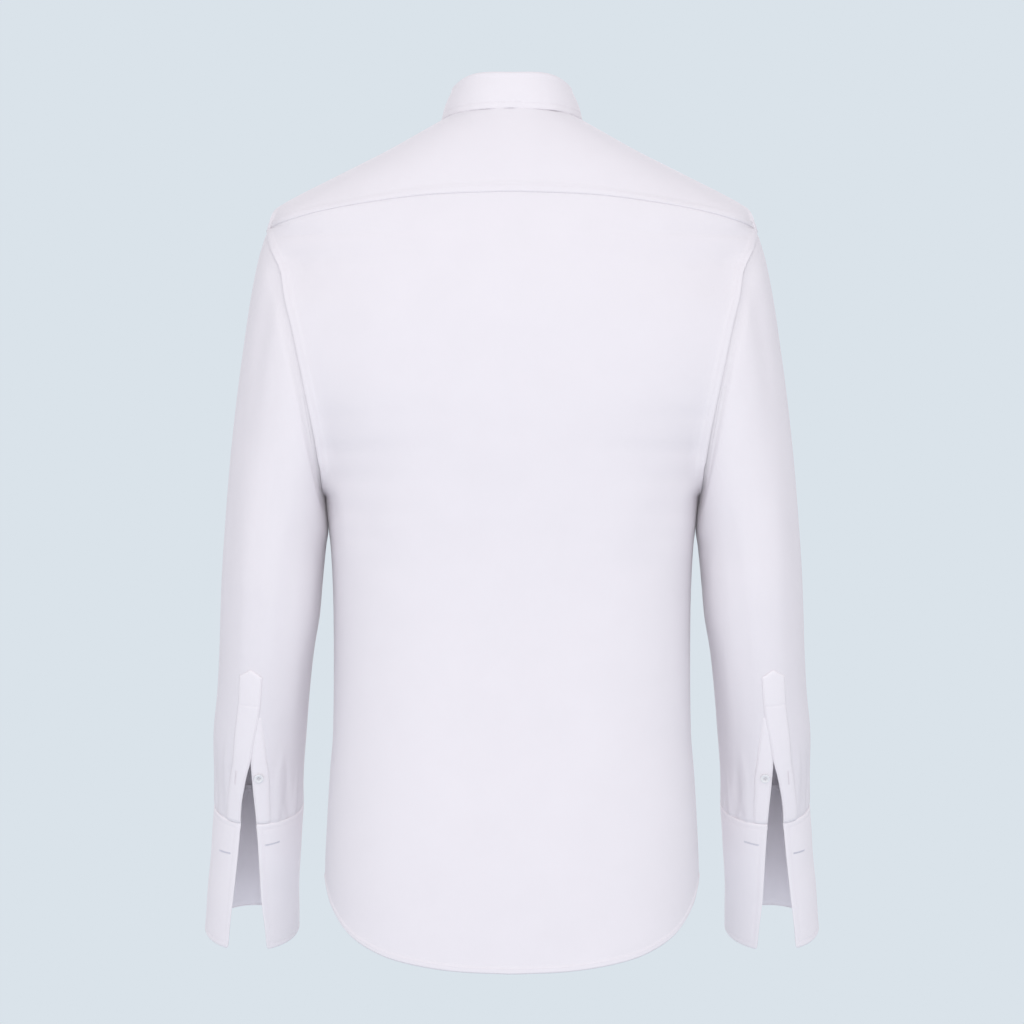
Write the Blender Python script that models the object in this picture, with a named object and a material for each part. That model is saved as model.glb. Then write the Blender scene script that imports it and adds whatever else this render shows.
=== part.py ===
# Long sleeve dress shirt with double cuffs, filled out as worn, as seventeen cloth and ten button pieces.
# Frame: the origin lies at the base of the neck on the shoulder line, +Z up, +Y to the back of the shirt,
# +X to the wearer's left. Metres throughout.
import math
import bpy
import bmesh
import numpy as np

wall = 0.0018          # thickness of every cloth wall
seamGap = 0.00032      # space left between two pieces at a seam
trimGap = 0.00035      # space under a piece that lies on another
armpitZ = -0.345
shoulderZ = -0.100
neckHalfWidth = 0.060
neckBackZ = 0.0115
neckSideZ = 0.003
neckFrontZ = -0.052
frontOverlap = 0.016   # each front passes the centre line by this much
standHeight = 0.0256
towerRise = 0.0755     # height of the sewn-down top of the sleeve placket
slitTopZ = -0.571
slitTopTurn = 83.0     # degrees round the sleeve where the slit ends
buttonRadius = 0.0055
smallButtonRadius = 0.0042
buttonHeight = 0.0026
frontButtonZ = (-0.118, -0.200, -0.282, -0.364, -0.446, -0.528, -0.610)

# columns: z, halfWidth, back, front, power
bodyRows = (
    (0.0200, 0.0500, 0.0530, 0.0520, 2.0),
    (0.0115, 0.0555, 0.0580, 0.0550, 2.0),
    (0.0030, 0.0600, 0.0625, 0.0590, 2.0),
    (-0.0076, 0.0785, 0.0690, 0.0615, 2.0),
    (-0.0260, 0.1141, 0.0790, 0.0660, 2.05),
    (-0.0444, 0.1523, 0.0870, 0.0700, 2.1),
    (-0.0628, 0.1909, 0.0935, 0.0765, 2.15),
    (-0.0720, 0.2060, 0.0965, 0.0800, 2.2),
    (-0.0812, 0.2185, 0.0990, 0.0845, 2.2),
    (-0.0905, 0.2240, 0.1015, 0.0895, 2.25),
    (-0.1000, 0.2245, 0.1040, 0.0945, 2.3),
    (-0.1200, 0.2190, 0.1085, 0.1035, 2.4),
    (-0.1400, 0.2095, 0.1120, 0.1110, 2.5),
    (-0.1670, 0.2045, 0.1150, 0.1180, 2.6),
    (-0.1940, 0.1977, 0.1165, 0.1225, 2.6),
    (-0.2480, 0.1864, 0.1155, 0.1260, 2.6),
    (-0.3030, 0.1764, 0.1105, 0.1250, 2.6),
    (-0.3570, 0.1685, 0.1035, 0.1215, 2.6),
    (-0.3940, 0.1645, 0.0990, 0.1190, 2.6),
    (-0.4580, 0.1633, 0.0950, 0.1165, 2.55),
    (-0.5600, 0.1638, 0.0980, 0.1160, 2.5),
    (-0.5960, 0.1665, 0.1005, 0.1165, 2.5),
    (-0.6330, 0.1688, 0.1030, 0.1170, 2.5),
    (-0.6880, 0.1711, 0.1055, 0.1175, 2.5),
    (-0.7900, 0.1700, 0.1070, 0.1175, 2.5),
)
# columns: share of the half width, z of the back tail, z of the front tail
hemRows = (
    (0.00, -0.7715, -0.7500),
    (0.32, -0.7690, -0.7480),
    (0.58, -0.7622, -0.7412),
    (0.73, -0.7540, -0.7328),
    (0.87, -0.7390, -0.7200),
    (0.96, -0.7170, -0.7060),
    (1.00, -0.6960, -0.6960),
)
# the seam under the yoke, columns: degrees from the side, drop below its middle
yokeSeamRows = ((0, 0.0313), (11, 0.0280), (27, 0.0230), (47, 0.0127), (70, 0.0030), (90, 0.0))
# how the shoulder rounds over above a straight line from neck to armhole: share of the way, rise
shoulderRise = ((0.0, 0.0), (0.16, 0.0002), (0.34, 0.0014), (0.52, 0.0056), (0.68, 0.0098), (0.82, 0.0138),
                (0.92, 0.0154), (0.97, 0.0128), (1.0, 0.0))
# columns: outerX, outerZ, innerX, innerZ, y, depth, lean in degrees
sleeveRows = (
    (0.2245, -0.1000, 0.1695, -0.3450, 0.0000, 0.0760, 0.0),
    (0.2330, -0.1280, 0.1700, -0.3520, 0.0000, 0.0765, 0.0),
    (0.2405, -0.1650, 0.1705, -0.3600, 0.0000, 0.0760, 0.0),
    (0.2470, -0.2100, 0.1708, -0.3680, 0.0000, 0.0750, 0.0),
    (0.2535, -0.2620, 0.1712, -0.3780, 0.0000, 0.0730, 0.0),
    (0.2595, -0.3180, 0.1718, -0.3900, 0.0000, 0.0705, 1.0),
    (0.2640, -0.3720, 0.1728, -0.4070, -0.0010, 0.0680, 2.0),
    (0.2668, -0.4150, 0.1748, -0.4290, -0.0030, 0.0660, 5.0),
    (0.2682, -0.4500, 0.1772, -0.4550, -0.0080, 0.0630, 9.0),
    (0.2697, -0.4870, 0.1827, -0.4870, -0.0153, 0.0590, 13.0),
    (0.2727, -0.5244, 0.1872, -0.5244, -0.0257, 0.0550, 17.0),
    (0.2776, -0.5624, 0.1908, -0.5624, -0.0384, 0.0508, 20.0),
    (0.2784, -0.6005, 0.1942, -0.6005, -0.0530, 0.0468, 21.5),
    (0.2787, -0.6320, 0.1952, -0.6320, -0.0657, 0.0440, 22.0),
)
# the cuff: same columns, from its seam to its lower edge
cuffRows = (
    (0.2787, -0.6320, 0.1952, -0.6320, -0.0657, 0.0440, 22.0),
    (0.2822, -0.6720, 0.1983, -0.6720, -0.0818, 0.0448, 22.0),
    (0.2871, -0.7130, 0.2015, -0.7130, -0.0984, 0.0457, 22.0),
    (0.2912, -0.7537, 0.2021, -0.7537, -0.1149, 0.0465, 22.0),
)
# opening of the cuff in degrees round the ring (0 outer side, 90 back): share down, tower side, binding side
cuffSlit = ((0.0, 69.5, 90.4), (0.355, 67.3, 97.5), (0.62, 66.2, 103.4), (0.82, 64.3, 108.4),
            (1.0, 63.0, 111.5))
# the fall's lower edge, columns: turn round the neck (90 back, 0 side, -90 front), x, y, z
fallEdge = (
    (90.0, 0.0000, 0.0690, 0.0066),
    (60.0, 0.0335, 0.0618, 0.0060),
    (35.0, 0.0530, 0.0415, 0.0054),
    (10.0, 0.0634, 0.0115, 0.0046),
    (0.0, 0.0650, -0.0020, 0.0038),
    (-5.0, 0.0664, -0.0220, 0.0014),
    (-11.0, 0.0685, -0.0375, -0.0068),
    (-21.0, 0.0698, -0.0552, -0.0165),
    (-33.0, 0.0680, -0.0672, -0.0322),
    (-46.0, 0.0638, -0.0735, -0.0487),
    (-60.0, 0.0585, -0.0792, -0.0660),
    (-78.0, 0.0500, -0.0888, -0.0830),
)


def rowAt(rows, key, value):
    # smooth interpolation of a table whose column `key` rises or falls steadily
    table = np.array(rows, float)
    if table[0, key] > table[-1, key]:
        table = table[::-1]
    keys = table[:, key]
    value = min(max(value, keys[0]), keys[-1])
    n = len(keys)
    i = min(max(int(np.searchsorted(keys, value)) - 1, 0), n - 2)
    span = keys[i + 1] - keys[i]
    t = (value - keys[i]) / span
    low, high = table[i], table[i + 1]
    slopeLow = (high - low) / span
    if i > 0:
        slopeLow = (high - table[i - 1]) / (keys[i + 1] - keys[i - 1])
    slopeHigh = (high - low) / span
    if i < n - 2:
        slopeHigh = (table[i + 2] - low) / (keys[i + 2] - keys[i])
    a, b = 2 * t**3 - 3 * t**2 + 1, t**3 - 2 * t**2 + t
    c, d = -2 * t**3 + 3 * t**2, t**3 - t**2
    return a * low + b * span * slopeLow + c * high + d * span * slopeHigh


def armholeDepth(z):
    # how far the armhole stands off the shoulder plane at this height
    middle, half = (shoulderZ + armpitZ) / 2, (shoulderZ - armpitZ) / 2
    t = (z - middle) / half
    if abs(t) >= 1:
        return 0.0
    return 0.074 * (1 - abs(t) ** 2.1) ** 0.48


def bodyPoint(angle, z, side):
    # angle in degrees round the body: 0 wearer's left, 90 back, 180 right, 270 front; side 1 back, -1 front
    _, half, back, front, power = rowAt(bodyRows, 0, z)
    c, s = math.cos(math.radians(angle)), abs(math.sin(math.radians(angle)))
    hole = armholeDepth(z)
    x = math.copysign(half * abs(c) ** (2 / power), c)
    deep = back if side > 0 else front
    return np.array((x, side * (hole + (deep - hole) * s ** (2 / power)), z))


def bodyNormal(angle, z, side):
    first, last = (0.0, 180.0) if side > 0 else (180.0, 360.0)
    step, rise = 1.0, 0.0015
    low, high = max(angle - step, first), min(angle + step, last)
    along = bodyPoint(high, z, side) - bodyPoint(low, z, side)
    up = bodyPoint(angle, z + rise, side) - bodyPoint(angle, z - rise, side)
    if min(angle - first, last - angle) < 0.01 and armpitZ - 2 * rise < z < shoulderZ + 2 * rise:
        # the edge of the armhole, where the ring ends square to the side
        lean = 0.5 if z > shoulderZ - rise else 0.0
        normal = np.array((math.copysign(1.0, math.cos(math.radians(angle))), 0.0, lean))
        return normal / np.linalg.norm(normal)
    normal = np.cross(along, up)
    return normal / np.linalg.norm(normal)


def angleOfX(x, z, side):
    _, half, _, _, power = rowAt(bodyRows, 0, z)
    c = math.copysign(min(abs(x) / half, 1.0) ** (power / 2), x)
    angle = math.degrees(math.acos(max(-1.0, min(1.0, c))))
    return angle if side > 0 else 360 - angle


def smoothStep(t):
    t = min(max(t, 0.0), 1.0)
    return t * t * (3 - 2 * t)


def hemZ(angle, side):
    power = rowAt(bodyRows, 0, -0.74)[4]
    share = abs(math.cos(math.radians(angle))) ** (2 / power)
    return rowAt(hemRows, 0, share)[1 if side > 0 else 2]


def yokeSeamZ(angle):
    # the seam between the yoke and the back, by degrees from the nearer side
    return -0.0722 - rowAt(yokeSeamRows, 0, 90 - abs(angle - 90))[1]


def neckSpot(turn):
    # ring angle, height and side of the neck curve; turn 0 wearer's left, 90 back, 180 right, -90 front
    c, s = math.cos(math.radians(turn)), math.sin(math.radians(turn))
    x = neckHalfWidth * c
    if 0 <= turn <= 180:
        z = neckSideZ + (neckBackZ - neckSideZ) * s * s
        return angleOfX(x, z, 1), z, 1
    z = neckSideZ + (neckFrontZ - neckSideZ) * abs(s) ** 1.2
    if turn < -90 or turn > 270:
        z = neckFrontZ
    return angleOfX(x, z, -1), z, -1


def shellMesh(name, points, normals, quads, material, thickness=wall):
    # a closed wall: the given outer faces, the same faces moved in, and a rim along every open edge
    points, normals = np.array(points, float), np.array(normals, float)
    count = len(points)
    inner = points - normals * thickness
    # both walls split each quad along the same diagonal, so they stay parallel where it is twisted
    faces = []
    for a, b, c, d in quads:
        faces += [(a, b, c), (a, c, d)]
        faces += [(c + count, b + count, a + count), (d + count, c + count, a + count)]
    edges = {}
    for q in quads:
        for i in range(len(q)):
            edges[(q[i], q[(i + 1) % len(q)])] = True
    for a, b in edges:
        if (b, a) not in edges:
            faces.append((b, a, a + count, b + count))
    mesh = bpy.data.meshes.new(name)
    mesh.from_pydata([tuple(p) for p in np.vstack((points, inner))], [], faces)
    mesh.validate()
    work = bmesh.new()
    work.from_mesh(mesh)
    bmesh.ops.triangulate(work, faces=work.faces, quad_method="FIXED")
    if work.calc_volume(signed=True) < 0:
        bmesh.ops.reverse_faces(work, faces=work.faces)
    work.to_mesh(mesh)
    work.free()
    mesh.polygons.foreach_set("use_smooth", [True] * len(mesh.polygons))
    mesh.materials.append(material)
    item = bpy.data.objects.new(name, mesh)
    bpy.context.scene.collection.objects.link(item)
    return item


def gridQuads(rows, columns, flip=False):
    quads = []
    for j in range(rows - 1):
        for i in range(columns - 1):
            a = j * columns + i
            quad = (a, a + 1, a + 1 + columns, a + columns)
            quads.append((quad[0], quad[3], quad[2], quad[1]) if flip else quad)
    return quads


def pullEdges(grid, low, high, left, right):
    # moves the edges of a grid of points inward, a distance for each side
    out = grid.copy()

    def move(edge, inside, distance):
        way = inside - edge
        size = np.linalg.norm(way, axis=-1, keepdims=True)
        return edge + way / np.maximum(size, 1e-9) * np.minimum(distance, size * 0.4)

    out[0] = move(out[0], grid[1], low)
    out[-1] = move(out[-1], grid[-2], high)
    out[:, 0] = move(out[:, 0], out[:, 1], left)
    out[:, -1] = move(out[:, -1], out[:, -2], right)
    return out


def gridNormals(grid, closed=False):
    # unit normals of a grid of points from its own neighbours
    if closed:
        across = np.roll(grid, -1, axis=1) - np.roll(grid, 1, axis=1)
    else:
        across = np.gradient(grid, axis=1)
    down = np.gradient(grid, axis=0)
    normal = np.cross(across, down)
    return normal / np.maximum(np.linalg.norm(normal, axis=-1, keepdims=True), 1e-12)


def bodyGrid(spots):
    points = np.array([[bodyPoint(*s) for s in row] for row in spots])
    normals = np.array([[bodyNormal(*s) for s in row] for row in spots])
    return points, normals


def panel(name, points, normals, material, mirror=False, pulls=(seamGap / 2,) * 4):
    rows, columns = points.shape[:2]
    points = pullEdges(points, *pulls)
    if mirror:
        points, normals = points * (-1, 1, 1), normals * (-1, 1, 1)
    return shellMesh(name, points.reshape(-1, 3), normals.reshape(-1, 3),
                     gridQuads(rows, columns, flip=mirror), material)


def unit(v):
    return v / np.maximum(np.linalg.norm(v, axis=-1, keepdims=True), 1e-12)


def ringPoint(rows, key, degrees, out=0.0):
    # a point of a sleeve or cuff ring: 0 outer side, 90 back, 180 body side, 270 front
    _, outerX, outerZ, innerX, innerZ, y, depth, lean = (0.0, *rowAt(rows, 1, key))
    c, s = math.cos(math.radians(degrees)), math.sin(math.radians(degrees))
    middle = np.array(((outerX + innerX) / 2, y, (outerZ + innerZ) / 2))
    across = np.array(((outerX - innerX) / 2, 0, (outerZ - innerZ) / 2))
    lean = math.radians(lean)
    back = np.array((0, math.cos(lean), -math.sin(lean)))
    grow = 1 + out / np.linalg.norm(across)
    return middle + across * grow * c + back * (depth + out) * s


def makeMaterial(name, colour, roughness, sheen=0.0):
    material = bpy.data.materials.new(name)
    material.use_nodes = True
    shader = material.node_tree.nodes["Principled BSDF"]
    shader.inputs["Base Color"].default_value = (*colour, 1)
    shader.inputs["Roughness"].default_value = roughness
    shader.inputs["Sheen Weight"].default_value = sheen
    return material


for old in list(bpy.data.objects):
    bpy.data.objects.remove(old, do_unlink=True)

armholeTopZ = -0.1035
armholeSteps = 11
armholeZ = [armpitZ + (armholeTopZ - armpitZ) * j / armholeSteps for j in range(armholeSteps + 1)]
lowSteps = 8
backAngles = [180 * i / 16 for i in range(17)]
eighths = [i / 8 for i in range(9)]


def frontColumns(x, z):
    # ring angles of a front's columns: two close to its inner edge, the rest spread out to the side
    angles = [angleOfX(x, z, -1), angleOfX(max(0.018, x + 0.010), z, -1)]
    angles.append(angleOfX(max(0.042, x + 0.020), z, -1))
    return angles + [angles[2] + (360 - angles[2]) * i / 6 for i in range(1, 7)]


# the back: hem to armpit, then up to the yoke seam
spots = []
for j in range(lowSteps):
    t = j / lowSteps
    spots.append([(a, hemZ(a, 1) * (1 - t) + armpitZ * t, 1) for a in backAngles])
for j in range(armholeSteps + 1):
    t = j / armholeSteps
    spots.append([(a, armpitZ * (1 - t) + yokeSeamZ(a) * t, 1) for a in backAngles])
backPoints, backNormals = bodyGrid(spots)

# the fronts: the same rows, from the overlapping edge and the neckline out to the side and armhole
innerEnds = [(-frontOverlap, z) for z in (-0.360, -0.298, -0.236, -0.174, -0.113, neckFrontZ)]
neckTurns = (-75, -60, -46, -33, -21, -11)
slant = (0.0, 0.0, 0.05, 0.2, 0.36, 0.52, 0.68, 0.84, 1.0)   # how a row of a front sinks from edge to armhole
spots = []
for j in range(lowSteps):
    t = j / lowSteps
    ringZ = -0.745 * (1 - t) + innerEnds[0][1] * t
    row = []
    for u, a in zip(eighths, frontColumns(-frontOverlap, ringZ)):
        row.append((a, hemZ(a, -1) * (1 - t) + (innerEnds[0][1] * (1 - u) + armpitZ * u) * t, -1))
    spots.append(row)
for j in range(armholeSteps + 1):
    if j < len(innerEnds):
        x, z = innerEnds[j]
    else:
        turn = neckTurns[j - len(innerEnds)]
        x, z = neckHalfWidth * math.cos(math.radians(turn)), neckSpot(turn)[1]
    spots.append([(a, z * (1 - w) + armholeZ[j] * w, -1) for w, a in zip(slant, frontColumns(x, z))])
frontPoints, frontNormals = bodyGrid(spots)

# the yoke: ruled from the neck to its outer edge, with a little fullness, in 3-D
yokeOuter = [(360, armholeTopZ, -1), (360, -0.1010, -1), (0, shoulderZ, 1), (0, -0.1010, 1)]
yokeOuter += [(a, yokeSeamZ(a), 1) for a in backAngles]
yokeOuter += [(180, -0.1010, 1), (180, shoulderZ, 1), (180, -0.1010, -1), (180, armholeTopZ, -1)]
yokeTurns = [-11, -5, 0, 4] + [8 + 164 * i / 16 for i in range(17)] + [176, 180, 185, 191]
yokeFull = [0.001, 0.0012, 0.0015, 0.0018] + [0.002 + 0.004 * math.sin(math.radians(a)) for a in backAngles]
yokeFull += [0.0018, 0.0015, 0.0012, 0.001]
outerLine = np.array([bodyPoint(*s) for s in yokeOuter])
neckLine = np.array([bodyPoint(*neckSpot(t)) for t in yokeTurns])
yokeShares = [u for u, _ in reversed(shoulderRise)]
yokePoints = np.array([neckLine * (1 - u) + outerLine * u for u in yokeShares])
lift = unit(gridNormals(yokePoints))
swell = np.array([[f * 4 * u * (1 - u) for f in yokeFull] for u in yokeShares])
yokePoints = yokePoints + lift * swell[..., None]
atShoulder = np.array([1 - smoothStep((min(t, 180 - t) - 8) / 42) for t in yokeTurns])
yokePoints[..., 2] += np.array([r for _, r in reversed(shoulderRise)])[:, None] * atShoulder
yokeNormals = gridNormals(yokePoints)
yokeNormals[0, 4:21] = [bodyNormal(*s) for s in yokeOuter[4:21]]

# the front meets the front edge of the yoke
edge = yokePoints[::-1, 0]
for j in range(5):
    share = (1 - j / 5) ** 2
    frontPoints[-1 - j] += (edge - frontPoints[-1]) * share if j else 0
frontPoints[-1] = edge
frontNormals[-1] = yokeNormals[::-1, 0]

# sleeve stations from the armpit up the back of the armhole, over the shoulder and down its front
loop = [backPoints[lowSteps + j, 0] for j in range(armholeSteps + 1)]
loop += [outerLine[3], outerLine[2], outerLine[1]]
loop += [frontPoints[lowSteps + j, -1] for j in range(armholeSteps, 0, -1)]
loop = np.array(loop)
bodyWay = np.array([backNormals[lowSteps + j, 0] for j in range(armholeSteps + 1)]
                   + [yokeNormals[0, 3], yokeNormals[0, 2], yokeNormals[0, 1]]
                   + [frontNormals[lowSteps + j, -1] for j in range(armholeSteps, 0, -1)])
count = len(loop)
first = sleeveRows[0]
loopTurn = []
for p in loop:
    c = np.dot(p - np.array(((first[0] + first[2]) / 2, 0, (first[1] + first[3]) / 2)),
               np.array((first[0] - first[2], 0, first[1] - first[3]))) / 2
    c = c / (((first[0] - first[2]) / 2) ** 2 + ((first[1] - first[3]) / 2) ** 2)
    turn = math.degrees(math.atan2(p[1] / first[5], c))
    loopTurn.append(turn if turn >= -1e-9 else turn + 360)
loopTurn[0] = 180.0
slitStation = min(range(armholeSteps), key=lambda k: abs(loopTurn[k] - slitTopTurn))


def slitTurns(z):
    # the two edges of the sleeve's slit, in degrees, by height of the ring's outer side
    t = min(max((z - slitTopZ) / (sleeveRows[-1][1] - slitTopZ), 0.0), 1.0)
    return tuple(slitTopTurn + (edge - slitTopTurn) * t for edge in cuffSlit[0][1:])


def stationTurns(low, high, share):
    # the stations' angles with the slit station brought to the slit's edges
    here = loopTurn[slitStation]
    turns = []
    for k in range(count):
        turn = loopTurn[k]
        if turn <= here:
            moved = turn / here * low
        elif turn <= 180:
            moved = high + (turn - here) / (180 - here) * (180 - high)
        else:
            moved = turn
        turns.append(turn * (1 - share) + moved * share)
    return turns


sleeveZ = [-0.1000, -0.1150, -0.1400, -0.1800, -0.2300, -0.2900, -0.3500, -0.4100, -0.4600, -0.5150,
           slitTopZ, -0.5860, -0.6010, -0.6160, sleeveRows[-1][1]]
slitRow = sleeveZ.index(slitTopZ)
sleeveGrid = []
for m, z in enumerate(sleeveZ):
    low, high = slitTurns(z)
    share = smoothStep(m / slitRow)
    turns = stationTurns(low, high, share)
    ring = [ringPoint(sleeveRows, z, t) for t in turns]
    if m > slitRow:
        ring.append(ringPoint(sleeveRows, z, low))
    fade = (1 - smoothStep(m / 6)) if m < 6 else 0.0
    start = [ringPoint(sleeveRows, sleeveZ[0], t) for t in loopTurn]
    for k in range(count):
        ring[k] = ring[k] + (loop[k] - start[k]) * fade
    if m > slitRow:
        ring[slitStation] = ringPoint(sleeveRows, z, high)
    sleeveGrid.append(ring)
even = np.array([ring[:count] for ring in sleeveGrid])
sleeveNormals = -gridNormals(even, closed=True)
if np.dot(sleeveNormals[7, 0], np.array((-1.0, 0, 0))) < 0:
    sleeveNormals = -sleeveNormals
mitre = unit(bodyWay + sleeveNormals[0])
tangent = np.roll(loop, -1, axis=0) - np.roll(loop, 1, axis=0)
away = unit(np.cross(mitre, tangent))
away[away[:, 0] < 0] *= -1
for j in range(armholeSteps + 1):
    backNormals[lowSteps + j, 0] = mitre[j] / max(np.dot(mitre[j], bodyWay[j]), 0.6)
    backNormals[lowSteps + j, -1] = backNormals[lowSteps + j, 0] * (-1, 1, 1)
for j in range(1, armholeSteps + 1):
    k = count - j
    frontNormals[lowSteps + j, -1] = mitre[k] / max(np.dot(mitre[k], bodyWay[k]), 0.6)
for i, k in ((3, armholeSteps + 1), (2, armholeSteps + 2), (1, armholeSteps + 3)):
    yokeNormals[0, i] = mitre[k] / max(np.dot(mitre[k], bodyWay[k]), 0.6)
    yokeNormals[0, -1 - i] = yokeNormals[0, i] * (-1, 1, 1)
yokeNormals[0, 4] = backNormals[-1, 0]
yokeNormals[0, 20] = backNormals[-1, -1]
yokeNormals[0, 0] = frontNormals[-1, -1]
yokeNormals[0, -1] = yokeNormals[0, 0] * (-1, 1, 1)
for k in range(count):
    sleeveGrid[0][k] = loop[k] + away[k] * 0.0005
    sleeveNormals[0, k] = mitre[k] / max(np.dot(mitre[k], unit(sleeveNormals[0, k])), 0.6)

cotton = (0.86, 0.86, 0.88)
half = seamGap / 2
panel("back", backPoints, backNormals, makeMaterial("cotton_back", cotton, 0.8, 0.2),
      pulls=(half, 2.8 * half, half, half))
panel("yoke", yokePoints, yokeNormals, makeMaterial("cotton_yoke", cotton, 0.8, 0.2),
      pulls=(2.8 * half, half, half, half))
panel("front_left", frontPoints, frontNormals, makeMaterial("cotton_front_left", cotton, 0.8, 0.2))
# the right front runs under the left one, so it is moved in where they lie on each other
under = (wall + trimGap) * np.array([[1 - smoothStep((p[0] - 0.0185) / 0.022) for p in row]
                                     for row in frontPoints])
panel("front_right", frontPoints - frontNormals * under[..., None], frontNormals,
      makeMaterial("cotton_front_right", cotton, 0.8, 0.2), mirror=True)


def sleeveMesh(name, mirror, material):
    points, normals, where = [], [], {}
    for m, ring in enumerate(sleeveGrid):
        for k, p in enumerate(ring):
            where[(m, k)] = len(points)
            points.append(p)
            normals.append(sleeveNormals[m, k if k < count else slitStation])
    last = len(sleeveGrid) - 1
    for k in range(len(sleeveGrid[last])):
        a, b = where[(last, k)], where[(last - 1, k)]
        points[a] = points[a] + unit(points[b] - points[a]) * seamGap / 2
    quads = []
    for m in range(last):
        for k in range(count):
            ids = [(m, k), (m, (k + 1) % count), (m + 1, (k + 1) % count), (m + 1, k)]
            if k == slitStation:
                # the column on the outer side of the slit uses the second edge below the slit's top
                ids = [(i, count) if (j == slitStation and i > slitRow) else (i, j) for i, j in ids]
            quads.append(tuple(where[i] for i in ids))
    points, normals = np.array(points), np.array(normals)
    if mirror:
        points, normals = points * (-1, 1, 1), normals * (-1, 1, 1)
    return shellMesh(name, points, normals, quads, material)


for side, mirror in (("left", False), ("right", True)):
    sleeveMesh("sleeve_" + side, mirror, makeMaterial("cotton_sleeve_" + side, cotton, 0.8, 0.2))


def cuffTurns(share):
    low = np.interp(share, [r[0] for r in cuffSlit], [r[1] for r in cuffSlit])
    high = np.interp(share, [r[0] for r in cuffSlit], [r[2] for r in cuffSlit])
    return float(low), float(high)


# the cuff runs from the tower side of the slit round the outer side and the front to the binding side
order = list(range(slitStation + 1, count)) + list(range(0, slitStation))
cuffGrid = []
for share in (0.0, 0.33, 0.66, 1.0):
    z = cuffRows[0][1] + (cuffRows[-1][1] - cuffRows[0][1]) * share
    low, high = cuffTurns(share)
    turns = stationTurns(low, high, 1.0)
    ring = [ringPoint(cuffRows, z, low)] + [ringPoint(cuffRows, z, turns[k]) for k in order]
    cuffGrid.append(ring + [ringPoint(cuffRows, z, high)])
cuffGrid = np.array(cuffGrid)
cuffNormals = -unit(gridNormals(cuffGrid))
if np.dot(cuffNormals[1, 3], cuffGrid[1, 3] - cuffGrid[1].mean(axis=0)) < 0:
    cuffNormals = -cuffNormals

# the sleeve placket: a tower strip on the outer side of the slit, a narrow binding on the body side
towerDegrees = 28.0     # widths of the two strips round the sleeve
bindingDegrees = 19.0
towerZ = [slitTopZ + towerRise, slitTopZ + towerRise * 0.55, slitTopZ + 0.004] + sleeveZ[slitRow:]
towerGrid = []
for j, z in enumerate(towerZ):
    low = slitTurns(z)[0] + 7 * smoothStep((z - slitTopZ) / 0.045)
    row = []
    for i in range(5):
        u = i / 4
        rise = 0.006 * (1 - abs(2 * u - 1)) if j == 0 else 0.0
        row.append(ringPoint(sleeveRows, z + rise, low - towerDegrees * u, trimGap + 0.0004 + wall))
    towerGrid.append(row)
towerGrid = np.array(towerGrid)
bindingZ = [slitTopZ - 0.002] + sleeveZ[slitRow + 1:]
bindingGrid = np.array([[ringPoint(sleeveRows, z, slitTurns(z)[1] + bindingDegrees * i / 3,
                                   trimGap + 0.0004 + wall) for i in range(4)] for z in bindingZ])


def outward(grid, centre):
    normals = unit(gridNormals(grid))
    middle = grid.shape[0] // 2, grid.shape[1] // 2
    if np.dot(normals[middle], grid[middle] - centre) < 0:
        normals = -normals
    return normals


sleeveMiddle = ringPoint(sleeveRows, -0.59, 0) * 0.5 + ringPoint(sleeveRows, -0.59, 180) * 0.5
for side, mirror in (("left", False), ("right", True)):
    panel("cuff_" + side, cuffGrid, cuffNormals, makeMaterial("cotton_cuff_" + side, cotton, 0.75, 0.2),
          mirror, (half, 0, 0, 0))
    panel("placket_" + side, towerGrid, outward(towerGrid, sleeveMiddle),
          makeMaterial("cotton_placket_" + side, cotton, 0.75, 0.2), mirror, (0, 0.0005, half, 0))
    panel("binding_" + side, bindingGrid, outward(bindingGrid, sleeveMiddle),
          makeMaterial("cotton_binding_" + side, cotton, 0.75, 0.2), mirror, (0, 0.0005, half, 0))

# the collar: a stand on the neck curve, and a fall turned over its top
standTurns = [-105, -90, -75, -60, -46, -33, -21] + yokeTurns + [201, 213, 226, 240, 255, 270, 285]


def standBase(turn):
    if turn < -90 or turn > 270:
        x = neckHalfWidth * math.cos(math.radians(turn))
        base = bodyPoint(angleOfX(x, neckFrontZ, -1), neckFrontZ, -1)
    else:
        base = bodyPoint(*neckSpot(turn))
    return base


def standSpot(turn, share, out=0.0):
    base = standBase(turn)
    middle = np.array((0.0, -0.004, 0.0))
    flat = (base - middle) * (1, 1, 0)
    along = standBase(turn + 4) - standBase(turn - 4)
    way = unit(unit(np.array((along[1], -along[0], 0.0))) + 0.5 * flat / np.linalg.norm(flat))
    lean = np.array((0.83, 0.87, 1.0))
    height = standHeight - 0.004 * (1 - smoothStep((math.sin(math.radians(turn)) + 1) / 0.6))
    top = middle + flat * lean + np.array((0, 0, base[2] + height))
    spot = (base + np.array((0, 0, 0.0021))) * (1 - share) + top * share
    # the right end runs under the left end
    inset = (wall + trimGap) * (1 - smoothStep((-base[0] - 0.0185) / 0.022)) if turn > 180 else 0.0
    return spot - way * inset + way * out


standGrid = np.array([[standSpot(t, s) for t in standTurns] for s in (0, 0.5, 1)])
standNormals = outward(standGrid, np.array((0, 0, 0)))
panel("collar_stand", standGrid, standNormals, makeMaterial("cotton_stand", cotton, 0.75, 0.2),
      pulls=(0, 0, 0, 0))

foldProfile = ((-0.0006, 0.0026), (0.0018, 0.0023), (0.0040, 0.0006), (0.0050, -0.0030))
fallTurns = [-78, -68] + standTurns[3:-3] + [248, 258]


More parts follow.
